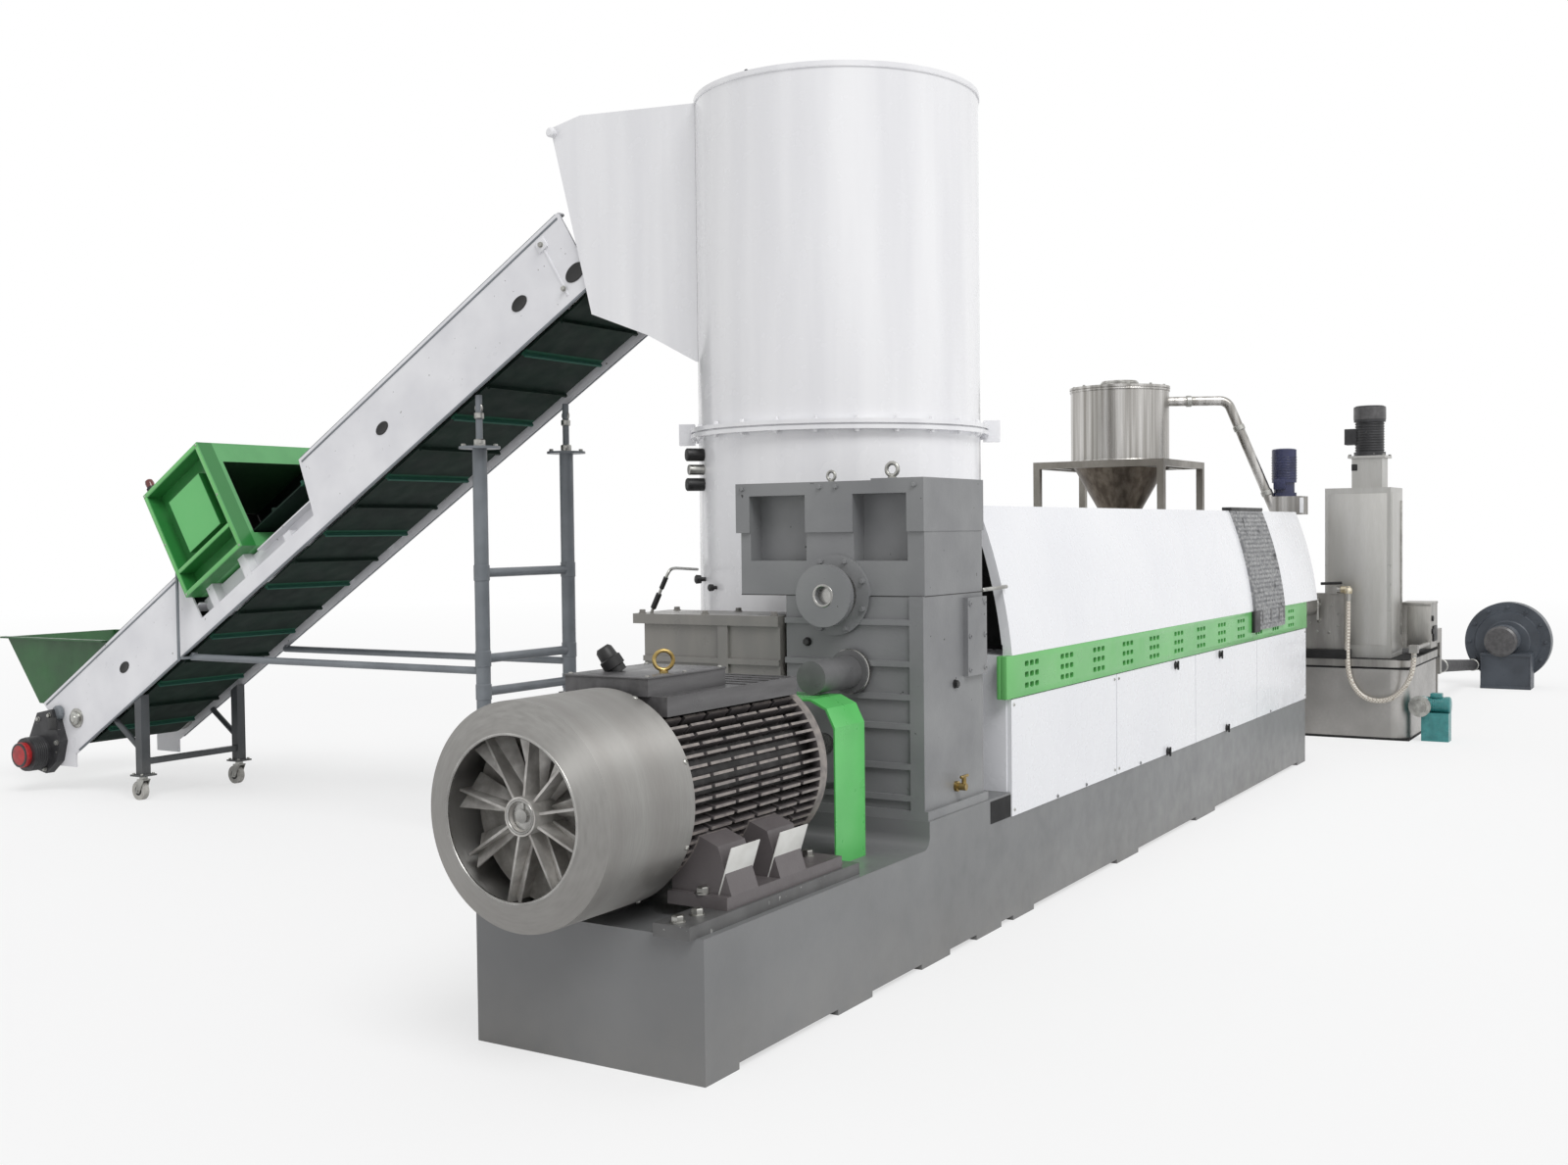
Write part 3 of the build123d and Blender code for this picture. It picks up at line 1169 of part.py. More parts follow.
def pellet_pipe():
    route = FilletPolyline(
        (SILO_X + PIPE_START_X, SILO_Y + PIPE_START_Y, PIPE_Z),
        (SILO_X + PIPE_BEND_X, SILO_Y + PIPE_BEND_Y, PIPE_Z),
        (PIPE_END_X, PIPE_END_Y, PIPE_END_Z),
        radius=PIPE_BEND_RADIUS,
    )
    pipe = sweep(Plane(origin=route @ 0, z_dir=route % 0) * Circle(PIPE_RADIUS), path=route)
    pipe -= rod_z(SILO_RADIUS + 0.5, SILO_BOTTOM_Z, SILO_TOP_Z, SILO_X, SILO_Y)
    return pipe - drying_column()


def tank_block(shrink, z0, z1):
    """A block with the tank's rounded plan, moved in by a wall or out by a lip."""
    width = TANK_X1 - TANK_X0 - 2 * shrink
    depth = TANK_Y1 - TANK_Y0 - 2 * shrink
    plan = RectangleRounded(width, depth, TANK_CORNER - shrink)
    return Pos((TANK_X0 + TANK_X1) / 2, (TANK_Y0 + TANK_Y1) / 2, z0) * extrude(plan, z1 - z0)


def water_tank():
    return tank_block(0, 0, TANK_HEIGHT) - tank_block(TANK_WALL, TANK_WALL, TANK_HEIGHT + 1)


def tank_lid():
    return tank_block(-TANK_LID_LIP, TANK_HEIGHT, TANK_HEIGHT + TANK_LID_THICK)


def dryer_casing():
    lid_top = TANK_HEIGHT + TANK_LID_THICK
    half = DRYER_NECK_HALF
    casing = slab(DRYER_X0, DRYER_X1, DRYER_Y0, DRYER_Y1, lid_top, DRYER_TOP_Z)
    flange_z = DRYER_NECK_TOP_Z - DRYER_NECK_FLANGE
    x, y = DRYER_NECK_X, DRYER_NECK_Y
    casing += slab(x - half, x + half, y - half, y + half, DRYER_TOP_Z, flange_z)
    half += DRYER_NECK_LIP
    return casing + slab(x - half, x + half, y - half, y + half, flange_z, DRYER_NECK_TOP_Z)


def dryer_motor():
    r = DRYER_MOTOR_RADIUS
    rim = DRYER_MOTOR_RIM
    x, y = DRYER_NECK_X, DRYER_NECK_Y
    z0 = DRYER_NECK_TOP_Z
    z1 = DRYER_MOTOR_TOP_Z
    motor = rod_z(r, z0, z0 + rim, x, y)
    motor += rod_z(r - DRYER_MOTOR_WAIST, z0 + rim, z1 - r, x, y)
    motor += rod_z(r, z1 - r, z1, x, y)
    return motor + slab(x - r / 2, x + r / 2, y, y + r + 2 * rim, z0 + 3 * rim, z0 + 7 * rim)


def dryer_outlet():
    drop_x0, drop_x1 = OUTLET_DROP_X0, OUTLET_DROP_X1
    outlet = slab(DRYER_X1, OUTLET_X1, OUTLET_Y0, OUTLET_Y1, OUTLET_Z0, OUTLET_Z1)
    outlet += slab(OUTLET_X1, drop_x1, OUTLET_DROP_Y0, OUTLET_DROP_Y1, OUTLET_Z0, OUTLET_DROP_TOP)
    outlet += slab(drop_x0, drop_x1, OUTLET_DROP_Y0, OUTLET_DROP_Y1, OUTLET_DROP_Z0, OUTLET_Z0)
    leg_y = (OUTLET_DROP_Y0 + OUTLET_DROP_Y1) / 2
    outlet += slab(drop_x1 - OUTLET_LEG, drop_x1, leg_y - OUTLET_LEG / 2, leg_y + OUTLET_LEG / 2, 0, OUTLET_DROP_Z0)
    hose_y, hose_z = HOSE_ROUTE[-1]
    block = HOSE_BLOCK
    outlet += slab(HOSE_X - block, HOSE_X + block, hose_y - block, hose_y + block, hose_z, hose_z + 2 * block)
    return outlet + rod_x(block / 2, HOSE_X, DRYER_X1 + block, hose_y, hose_z + block)


def pelletizer():
    lid_top = TANK_HEIGHT + TANK_LID_THICK
    body = slab(CUTTER_X0, CUTTER_X1, CUTTER_Y0, CUTTER_Y1, lid_top, CUTTER_Z1)
    body += rod_x(CUTTER_HEAD_RADIUS, BED_FAR_X, CUTTER_X0, CUTTER_HEAD_Y, CUTTER_HEAD_Z)
    body += slab(VALVE_X0, CUTTER_X1, VALVE_Y0, VALVE_Y1, CUTTER_Z1, CUTTER_Z1 + VALVE_HEIGHT)
    hose_y, hose_z = HOSE_ROUTE[0]
    middle_z = CUTTER_Z1 + VALVE_HEIGHT / 2
    body += rod_y(ELBOW_RADIUS - 2, hose_y, VALVE_Y0, HOSE_X, middle_z)
    return body + rod_z(ELBOW_RADIUS, hose_z, middle_z + ELBOW_RADIUS, HOSE_X, hose_y)


def hose_bends():
    """The radius of each bend of the hose, from the shorter run beside it."""
    points = [Vector(HOSE_X, y, z) for y, z in HOSE_ROUTE]
    radii = []
    for before, corner, after in zip(points, points[1:], points[2:]):
        first = corner - before
        second = after - corner
        half_turn = math.radians(first.get_angle(second)) / 2
        radii.append(0.45 * min(first.length, second.length) / math.tan(half_turn))
    return points, radii


def water_hose():
    points, radii = hose_bends()
    route = FilletPolyline(*points, radius=radii)
    print("hose bend radii", [round(r, 1) for r in radii])
    return sweep(Plane(origin=route @ 0, z_dir=route % 0) * Circle(HOSE_RADIUS), path=route)


def water_pump():
    x1 = PUMP_X + PUMP_THICK / 2
    motor_x = PUMP_X + PUMP_MOTOR_SHIFT
    motor_y = PUMP_Y - PUMP_MOTOR_START
    motor_end = motor_y - PUMP_MOTOR_LENGTH
    pump = rod_x(PUMP_RADIUS, PUMP_X - PUMP_THICK / 2, x1, PUMP_Y, PUMP_Z)
    pump += rod_y(PUMP_MOTOR_RADIUS, motor_end, motor_y, motor_x, PUMP_Z)
    return pump + slab(PUMP_X, motor_x + PUMP_THICK / 2, motor_end, PUMP_Y, 0, PUMP_BASE_TOP)


def air_pipe():
    start_y = (OUTLET_DROP_Y0 + OUTLET_DROP_Y1) / 2
    face_x = BLOWER_X - BLOWER_THICK / 2
    route = Edge.make_line((OUTLET_DROP_X1 - AIR_PIPE_RADIUS, start_y, AIR_PIPE_Z), (face_x + AIR_PIPE_RADIUS, AIR_PIPE_END_Y, AIR_PIPE_END_Z))
    pipe = sweep(Plane(origin=route @ 0, z_dir=route % 0) * Circle(AIR_PIPE_RADIUS), path=route)
    room = 2 * AIR_PIPE_RADIUS
    pipe -= slab(OUTLET_DROP_X0 - room, OUTLET_DROP_X1, start_y - room, start_y + room, AIR_PIPE_Z - room, AIR_PIPE_Z + room)
    return pipe - slab(face_x, BLOWER_X + room, AIR_PIPE_END_Y - room, AIR_PIPE_END_Y + room, AIR_PIPE_END_Z - room, AIR_PIPE_END_Z + room)


def blower_scroll():
    half = BLOWER_THICK / 2
    side = BLOWER_BASE_HALF_Y
    scroll = rod_x(BLOWER_RADIUS, BLOWER_X - half, BLOWER_X + half, BLOWER_Y, BLOWER_Z)
    return scroll + slab(BLOWER_X - half, BLOWER_X + half, BLOWER_Y - side, BLOWER_Y + side, 0, BLOWER_BASE_TOP)


def blower_motor():
    face_x = BLOWER_X - BLOWER_THICK / 2
    end_x = face_x - BLOWER_MOTOR_LENGTH
    motor = rod_x(BLOWER_MOTOR_RADIUS, end_x, face_x, BLOWER_MOTOR_Y, BLOWER_MOTOR_Z)
    return motor + slab(end_x, face_x, PEDESTAL_Y0, PEDESTAL_Y1, 0, PEDESTAL_TOP)


def write(name, shape):
    """Write one named piece as a STEP file."""
    solids = shape if isinstance(shape, list) else [shape]
    flat = []
    for item in solids:
        flat.extend(item.solids())
    piece = flat[0] if len(flat) == 1 else Compound(children=flat)
    piece.label = name
    export_step(piece, f"parts/{name}.step")


PIECES = {
    "bed_frame": bed(),
    "sole_pads": sole_pads(),
    "motor_rails": motor_rails(),
    "motor_body": motor_body(),
    "motor_cowl": motor_cowl(),
    "motor_fan": motor_fan(),
    "motor_shaft": motor_shaft(),
    "motor_shroud": motor_shroud(),
    "coupling_guard": coupling_guard(),
    "input_coupling": input_coupling(),
    "gearbox_lower": gearbox_lower(),
    "gearbox_upper": gearbox_upper(),
    "output_cover": output_cover(),
    "oil_pump": oil_pump(),
    "drive_housing": drive_housing(),
    "drive_lid": drive_lid(),
    "tower_floor": tower_floor(),
    "tower_lower": tower_lower(),
    "tower_flange": tower_flange(),
    "tower_upper": tower_upper(),
    "tower_roof": tower_roof(),
    "feed_hood": feed_hood(),
    "conveyor_plate_near": conveyor_plate(CONV_NEAR_X, 1),
    "conveyor_plate_far": conveyor_plate_far(),
    "conveyor_belt": conveyor_belt(),
    "belt_rollers": belt_rollers(),
    "tail_gearmotor": tail_gearmotor(),
    "feed_hopper": feed_hopper(),
    "detector_housing": detector_housing(),
    "low_legs": low_legs(),
    "tall_legs": tall_legs(),
    "caster_fork_near": caster_fork(CASTER_NEAR_X),
    "caster_wheel_near": caster_wheel(CASTER_NEAR_X),
    "caster_fork_far": caster_fork(CASTER_FAR_X),
    "caster_wheel_far": caster_wheel(CASTER_FAR_X),
    "cabinet": cabinet(),
    "cabinet_panels": cabinet_panels(),
    "vent_band": vent_band(),
    "cover_hood": cover_hood(),
    "back_cover": back_cover(),
    "barrel": barrel(),
    "cover_strap": cover_strap(),
    "silo_shell": silo_shell(),
    "silo_cone": silo_cone(),
    "silo_lid": silo_lid(),
    "silo_stand": silo_stand(),
    "pellet_pipe": pellet_pipe(),
    "drying_column": drying_column(),
    "column_motor": column_motor(),
    "pelletizer": pelletizer(),
    "water_tank": water_tank(),
    "tank_lid": tank_lid(),
    "dryer_casing": dryer_casing(),
    "dryer_motor": dryer_motor(),
    "dryer_outlet": dryer_outlet(),
    "water_hose": water_hose(),
    "water_pump": water_pump(),
    "air_pipe": air_pipe(),
    "blower_scroll": blower_scroll(),
    "blower_motor": blower_motor(),
}

for piece_name, piece_shape in PIECES.items():
    write(piece_name, piece_shape)
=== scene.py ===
import json
import math

import bpy
from mathutils import Matrix, Vector


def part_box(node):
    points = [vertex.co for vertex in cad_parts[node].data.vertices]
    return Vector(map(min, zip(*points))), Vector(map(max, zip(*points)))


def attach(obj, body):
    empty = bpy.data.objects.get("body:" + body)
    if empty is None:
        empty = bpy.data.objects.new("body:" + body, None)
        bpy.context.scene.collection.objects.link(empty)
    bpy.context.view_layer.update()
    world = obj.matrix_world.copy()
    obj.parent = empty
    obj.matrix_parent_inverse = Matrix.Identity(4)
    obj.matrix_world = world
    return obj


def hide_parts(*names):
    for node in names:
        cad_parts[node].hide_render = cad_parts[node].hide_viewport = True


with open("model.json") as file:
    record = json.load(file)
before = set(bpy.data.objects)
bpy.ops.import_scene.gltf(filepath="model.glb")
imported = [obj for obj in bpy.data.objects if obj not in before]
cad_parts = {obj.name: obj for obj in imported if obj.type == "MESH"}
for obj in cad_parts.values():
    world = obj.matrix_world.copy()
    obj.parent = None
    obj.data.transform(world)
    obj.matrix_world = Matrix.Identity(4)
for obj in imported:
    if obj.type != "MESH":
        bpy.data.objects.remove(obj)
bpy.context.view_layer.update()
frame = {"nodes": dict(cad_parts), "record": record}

# Camera, at the photograph's viewing angle
CAMERA_PLACE = Vector((-5.233, -2.984, 1.600))
CAMERA_TURN = math.radians(31.38)
CAMERA_RISE = math.radians(-1.83)
CAMERA_ROLL = math.radians(-0.65)
SENSOR_WIDTH = 36.0
FRAME_WIDTH = 1600
FOCAL_PIXELS = 1608
FAR_CLIP = 400
FLOOR_SIZE = 400

UP = (0, 0, 1)
DOWN = (0, 0, -1)
ALONG_X = (1, 0, 0)
ALONG_Y = (0, 1, 0)
TO_VIEWER = (0, -1, 0)
TO_MOTOR_END = (-1, 0, 0)

# Places shared by several pieces, in metres
SHAFT_Z = 0.795
COWL_SEAM_X = -1.4195
TERMINAL_LID_Z = 1.1642
FAN_BLADES = 9
SCREW_Y = -0.038
SCREW_Z = 1.360
OIL_PUMP = (-0.048, -0.115, 1.074)
TOWER_MIDDLE = Vector((1.300, 0.685, 0))
TOWER_RADIUS = 0.665
TOWER_BOLT_RADIUS = 0.686
SILO_MIDDLE = Vector((6.370, 1.084, 0))
COVER_ARC = [(-0.447, 1.088), (-0.395, 1.400), (-0.300, 1.700)]
HOSE_X = 7.030
CUTTER_GRIP_Y = -0.225
GEARMOTOR_Y, GEARMOTOR_Z = 6.303, 0.247
COLUMN_MOTOR_X, COLUMN_MOTOR_Y = 6.960, 0.001
DRYER_MOTOR_X, DRYER_MOTOR_Y = 7.415, -0.530
PUMP_MOTOR_X, PUMP_Z = 7.235, 0.263
SCROLL_Y, SCROLL_Z = -0.994, 0.440
BLOWER_MOTOR_Y, BLOWER_MOTOR_Z = -0.970, 0.462

# The feed conveyor, which rises from its tail
TAIL_Y = 6.09996
TAIL_Z = 0.42997
SLOPE = math.radians(31.6)
ALONG_BELT = Vector((0, -math.cos(SLOPE), math.sin(SLOPE)))
ABOVE_BELT = Vector((0, math.sin(SLOPE), math.cos(SLOPE)))
NEAR_PLATE_X = 0.907
FAR_PLATE_X = 1.687
BOTH_PLATES = ((NEAR_PLATE_X, -1), (FAR_PLATE_X, 1))
ROLLER_ALONG = 0.110
BELT_RUN = 4.610
CLEAT_PITCH = BELT_RUN / 16
TALL_LEGS_X = (0.945, 1.649)
TALL_LEG_Y = 2.625


def make_camera():
    """Puts the camera where the photograph's perspective was solved to be."""
    ahead = Vector((
        math.cos(CAMERA_RISE) * math.cos(CAMERA_TURN),
        math.cos(CAMERA_RISE) * math.sin(CAMERA_TURN),
        math.sin(CAMERA_RISE),
    ))
    level_right = ahead.cross(Vector(UP)).normalized()
    level_up = level_right.cross(ahead)
    right = level_right * math.cos(CAMERA_ROLL) + level_up * math.sin(CAMERA_ROLL)
    up = level_up * math.cos(CAMERA_ROLL) - level_right * math.sin(CAMERA_ROLL)
    data = bpy.data.cameras.new("camera")
    data.sensor_width = SENSOR_WIDTH
    data.lens = FOCAL_PIXELS / FRAME_WIDTH * SENSOR_WIDTH
    data.clip_end = FAR_CLIP
    camera = bpy.data.objects.new("camera", data)
    bpy.context.scene.collection.objects.link(camera)
    camera.matrix_world = Matrix.Translation(CAMERA_PLACE) @ axes(right, up, -ahead)
    bpy.context.scene.camera = camera


def axes(x, y, z):
    """The turn that brings the three axes to three directions."""
    return Matrix((x, y, z)).transposed().to_4x4()


# Materials

def linear(hex_colour):
    """Linear colour of an sRGB hex value."""
    parts = [int(hex_colour[i:i + 2], 16) / 255 for i in (1, 3, 5)]
    return tuple(p / 12.92 if p <= 0.04045 else ((p + 0.055) / 1.055) ** 2.4 for p in parts) + (1.0,)


def add_node(tree, kind, inputs=(), output=0, **settings):
    """Adds a node with its settings. An input is a value, another node's output to link, or None to leave it."""
    node = tree.nodes.new("ShaderNode" + kind)
    for name, value in settings.items():
        setattr(node, name, value)
    for socket, value in inputs.items() if isinstance(inputs, dict) else enumerate(inputs):
        if isinstance(value, bpy.types.NodeSocket):
            tree.links.new(value, node.inputs[socket])
        elif value is not None:
            node.inputs[socket].default_value = value
    return node.outputs[output]


def new_material(name, metallic=0.0, coat=0.0, ior=1.5):
    """A material with its constant values on the shader's own sockets."""
    material = bpy.data.materials.new(name)
    material.use_nodes = True
    tree = material.node_tree
    shader = tree.nodes["Principled BSDF"]
    shader.inputs["Metallic"].default_value = metallic
    shader.inputs["IOR"].default_value = ior
    shader.inputs["Coat Weight"].default_value = coat
    shader.inputs["Coat Roughness"].default_value = 0.12
    return material, tree, shader


def stretched(tree, scale=(1, 1, 1), place=(0, 0, 0)):
    """Object coordinates, scaled along each axis and moved."""
    return add_node(tree, "Mapping", (add_node(tree, "TexCoord", output="Object"), place, None, scale))


def patches(tree, where, size, low, high, start=0.0, end=1.0, detail=3.0):
    """Soft noise in patches about size metres across, its range between two limits spread from start to end."""
    cloud = add_node(tree, "TexNoise", (where, None, 1 / size, detail))
    return add_node(tree, "MapRange", (cloud, low, high, start, end))


def within(tree, value, low, high, edge=0.002):
    """One where a value lies between two limits, and zero outside."""
    rising = add_node(tree, "MapRange", (value, low - edge, low + edge))
    falling = add_node(tree, "MapRange", (value, high - edge, high + edge, 1.0, 0.0))
    return add_node(tree, "Math", (rising, falling), operation="MULTIPLY")


def paint(tree, shader, colour, layers, gloss, height=None, depth=0.0, strength=1.0):
    """Lays colours over a first one, each by its share, and links them, the gloss and a bump to the shader."""
    tone = linear(colour)
    for share, layer in layers:
        tone = add_node(tree, "MixRGB", (share, tone, linear(layer)))
    tree.links.new(tone, shader.inputs["Base Color"])
    tree.links.new(gloss, shader.inputs["Roughness"])
    if height:
        bump = add_node(tree, "Bump", {"Height": height, "Distance": depth, "Strength": strength})
        tree.links.new(bump, shader.inputs["Normal"])


def enamel(name, colour, shade, rough=0.32, patch=0.45, peel=0.010, depth=0.0006, coat=0.0, dust=0.0,
           streak=(1, 1, 1), fleck=0.0, fleck_colour="#2c2c2c"):
    """Paint over steel or cast iron: slow patches of tone, an orange-peel bump, dust low down and small chips."""
    material, tree, shader = new_material(name, coat=coat)
    flat = stretched(tree)
    layers = [(patches(tree, stretched(tree, streak), patch, 0.35, 0.65), shade)]
    if fleck:
        layers.append((patches(tree, flat, 0.030, 0.72 - fleck, 0.74 - fleck, detail=6), fleck_colour))
    if dust:
        height = add_node(tree, "SeparateXYZ", (flat,), "Z")
        low = add_node(tree, "MapRange", (height, 0.0, 0.30, dust, 0.0))
        cloud = add_node(tree, "TexNoise", (flat, None, 1 / 0.12, 3.0))
        layers.append((add_node(tree, "Math", (low, cloud), operation="MULTIPLY"), "#a09a90"))
    gloss = patches(tree, flat, 0.08, 0.3, 0.7, rough - 0.07, rough + 0.09)
    skin = add_node(tree, "TexNoise", (flat, None, 1 / peel, 2))
    paint(tree, shader, colour, layers, gloss, skin, depth, 0.5)
    return material


def brushed(name, colour, shade, rough, grain, patch=0.5, line=0.010, depth=0.0003, metallic=1.0):
    """Bare metal with lines left by brushing or turning; grain squeezes the lines along each axis."""
    material, tree, shader = new_material(name, metallic=metallic)
    where = stretched(tree, grain)
    lines = add_node(tree, "TexNoise", (where, None, 1 / line, 4))
    streaks = add_node(tree, "MapRange", (lines, 0.35, 0.65, 0.0, 0.30))
    gloss = add_node(tree, "MapRange", (lines, 0.3, 0.7, rough - 0.06, rough + 0.08))
    layers = ((patches(tree, where, patch, 0.38, 0.62), shade), (streaks, shade))
    paint(tree, shader, colour, layers, gloss, lines, depth, 0.4)
    return material


def rolled_metal():
    """Thin metallic paint over a rolled and spun cowl: rings round its axis stretch the highlights along it."""
    material = brushed("cowl_grey_metal", "#a5a4a1", "#9a9895", 0.46, (9, 0.6, 0.6), 1.2, 0.03, 0.0001)
    tree = material.node_tree
    shader = tree.nodes["Principled BSDF"]
    tangent = add_node(tree, "Tangent", direction_type="RADIAL", axis="X")
    tree.links.new(tangent, shader.inputs["Tangent"])
    shader.inputs["Anisotropic"].default_value = 0.85
    shader.inputs["Anisotropic Rotation"].default_value = 0.25
    return material


def finned_paint():
    """Cast frame in grey enamel: painted shade dark between the fins, and a painted highlight broken into dashes on the
    fins' tips.
    """
    material, tree, shader = new_material("motor_frame_enamel")
    from_axis = stretched(tree, (0, 1, 1), (0, 0, -SHAFT_Z))
    radius = add_node(tree, "VectorMath", (from_axis,), "Value", operation="LENGTH")
    flat = stretched(tree)
    # Darker towards the body between the fins is painted shade; the paler tips carry a painted highlight, broken into
    # dashes.
    outer = add_node(tree, "MapRange", (radius, 0.268, 0.300))
    highlight_dashes = patches(tree, flat, 0.03, 0.35, 0.6, 0.35, 1.0, 4)
    painted_highlight = add_node(tree, "Math", (within(tree, radius, 0.3030, 0.3070), highlight_dashes), operation="MULTIPLY")
    gloss = patches(tree, flat, 0.05, 0.3, 0.7, 0.32, 0.5)
    skin = add_node(tree, "TexNoise", (flat, None, 1 / 0.008, 2))
    paint(tree, shader, "#2a2726", ((outer, "#5f5a5b"), (painted_highlight, "#8f8883")), gloss, skin, 0.0006)
    return material


def conveyor_heights(tree):
    """Along the conveyor from its tail, and square above its middle line, from Object coordinates."""
    where = stretched(tree, place=(0, -TAIL_Y, -TAIL_Z))
    return [add_node(tree, "VectorMath", (where, direction), "Value", operation="DOT_PRODUCT")
            for direction in (ALONG_BELT, ABOVE_BELT)]


def belt_rubber():
    """Dark green PVC belt: the tops of every second one of its welded cleats are paler as a painted highlight, with a
    painted highlight stripe beside them.
    """
    material, tree, shader = new_material("green_belt_pvc", ior=1.52)
    along, above = conveyor_heights(tree)
    centred = add_node(tree, "Math", (above, 0.012), operation="ADD")
    height = add_node(tree, "Math", (centred,), operation="ABSOLUTE")
    tip = add_node(tree, "MapRange", (height, 0.1678, 0.1690))
    shifted = add_node(tree, "Math", (along, ROLLER_ALONG), operation="SUBTRACT")
    pairs = add_node(tree, "Math", (shifted, 2 * CLEAT_PITCH), operation="DIVIDE")
    pair = add_node(tree, "Math", (pairs,), operation="FRACT")
    # Every second cleat's top and a stripe beside it are painted paler: painted highlight.
    lit_cleat_tops = add_node(tree, "Math", (tip, within(tree, pair, 0.15, 0.35)), operation="MULTIPLY")
    painted_highlight = within(tree, pair, 0.235, 0.315, 0.006)
    flat = stretched(tree)
    layers = ((patches(tree, flat, 0.25, 0.35, 0.65), "#13281f"), (painted_highlight, "#235340"), (lit_cleat_tops, "#2b584b"))
    gloss = patches(tree, flat, 0.1, 0.3, 0.7, 0.62, 0.75)
    weave = add_node(tree, "TexNoise", (stretched(tree, (3, 1, 1)), None, 1 / 0.012, 2))
    paint(tree, shader, "#0f1e19", layers, gloss, weave, 0.0005)
    shader.inputs["Specular IOR Level"].default_value = 0.2
    return material


def detector_paint():
    """Green powder coat, with painted shade near black inside the tunnel and darker in the side recess, and light on
    its panel.
    """
    material, tree, shader = new_material("detector_powder_coat", coat=0.15)
    along, above = conveyor_heights(tree)
    flat = stretched(tree)
    across = add_node(tree, "SeparateXYZ", (flat,), "X")
    panel = add_node(tree, "Math", (
        within(tree, along, 1.642, 1.958), within(tree, above, 0.272, 0.618)), operation="MULTIPLY")
    front = within(tree, across, 0.870, 0.900, 0.004)
    tunnel = add_node(tree, "Math", (
        within(tree, across, 0.971, 1.623, 0.001), within(tree, above, 0.131, 0.6215, 0.0008)), operation="MULTIPLY")
    # The darker green in the side recess and the near black inside the tunnel are painted shade.
    layers = (
        (patches(tree, flat, 0.2, 0.35, 0.65), "#559c5f"), (within(tree, across, 0.847, 0.945), "#2f7d3c"),
        (add_node(tree, "Math", (panel, front), operation="MULTIPLY"), "#62bb6b"), (tunnel, "#101813"),
    )
    gloss = patches(tree, flat, 0.06, 0.3, 0.7, 0.28, 0.42)
    skin = add_node(tree, "TexNoise", (flat, None, 1 / 0.006, 2))
    paint(tree, shader, "#5fa868", layers, gloss, skin, 0.0005)
    return material


def mesh_blanket():
    """Braided grey heat blanket, with the dark gaps of its weave drawn larger than real so that they show."""
    material, tree, shader = new_material("braided_wire_blanket", metallic=0.2)
    flat = stretched(tree)
    weave = add_node(tree, "TexVoronoi", (flat, None, 42))
    cloud = add_node(tree, "TexNoise", (flat, None, 1 / 0.09, 4))
    layers = ((add_node(tree, "MapRange", (weave, 0.25, 0.55)), "#808183"),
              (add_node(tree, "MapRange", (cloud, 0.62, 0.68)), "#4a4b4d"))
    gloss = add_node(tree, "MapRange", (cloud, 0.3, 0.7, 0.4, 0.6))
    paint(tree, shader, "#a9a9a9", layers, gloss, weave, 0.003)
    return material


def braided_hose():
    """Clear PVC hose with a braid inside: milky, with crossed darker threads."""
    material, tree, shader = new_material("clear_braided_pvc", ior=1.53)
    threads = [add_node(tree, "TexWave", (stretched(tree, (1, 1, slant)), 26.0, 0.6), "Fac",
                        bands_direction="DIAGONAL") for slant in (1, -1)]
    crossed = add_node(tree, "Math", threads, operation="MAXIMUM")
    share = add_node(tree, "MapRange", (crossed, 0.8, 0.95))
    gloss = add_node(tree, "MapRange", (crossed, 0.0, 1.0, 0.18, 0.34))
    paint(tree, shader, "#dcd8cf", ((share, "#a09486"),), gloss)
    shader.inputs["Subsurface Weight"].default_value = 0.15
    shader.inputs["Subsurface Radius"].default_value = (0.01, 0.009, 0.008)
    return material


# Enamel on welded plate: a calm mid grey that dusts over near the floor
BED_ENAMEL = enamel("bed_grey_enamel", "#7a7b7c", "#707172", 0.36, 0.7, dust=0.25)
# Dark steel of the slide rails, rubbed where the motor slides
RAIL_ENAMEL = enamel("rail_grey_enamel", "#5f5f5f", "#505050", 0.42, 0.12, fleck=0.03, fleck_colour="#9a9a98")
# Cast iron under grey enamel: a coarse skin from the sand mould
CASTING_ENAMEL = enamel("casting_grey_enamel", "#858687", "#77787a", 0.38, 0.35, 0.014, 0.0011, fleck=0.01)
HOUSING_ENAMEL = enamel("housing_grey_enamel", "#87847f", "#7a7875", 0.34, 0.30, depth=0.0008, streak=(1, 2, 0.4))
COWL_METAL = rolled_metal()
SHROUD_ENAMEL = enamel("shroud_dark_enamel", "#5c5b5c", "#4b4a4b", 0.34, 0.10, streak=(0.4, 3, 3))
# Sand-cast aluminium: matt, with a rough skin
CAST_ALUMINIUM = brushed("cast_aluminium", "#d2d0cc", "#a9a6a2", 0.50, (1, 1, 1), 0.06, 0.012, 0.0012, 0.3)
BARE_STEEL = brushed("turned_steel", "#b5b4b1", "#8f8e8b", 0.26, (6, 1, 1), 0.10, 0.02)
ZINC = brushed("zinc_plated_steel", "#bdbdb8", "#999894", 0.34, (1, 1, 1), 0.05)
PALE_BRASS = brushed("worn_pale_brass", "#ddd6c4", "#b0a387", 0.34, (1, 1, 1), 0.04)
BRASS = brushed("cast_brass", "#c2ab72", "#8e7848", 0.30, (1, 1, 1), 0.05)
# Powder coat: bright, even, slightly soft in its shine
GUARD_GREEN = enamel("guard_green_powder", "#60c468", "#55b95e", 0.30, 0.25, coat=0.2)
BAND_GREEN = enamel("band_green_powder", "#6cbb6b", "#62b163", 0.32, 0.5, coat=0.2)
HOPPER_GREEN = enamel("hopper_green_enamel", "#255c2c", "#1c4923", 0.36, 0.25, dust=0.1)
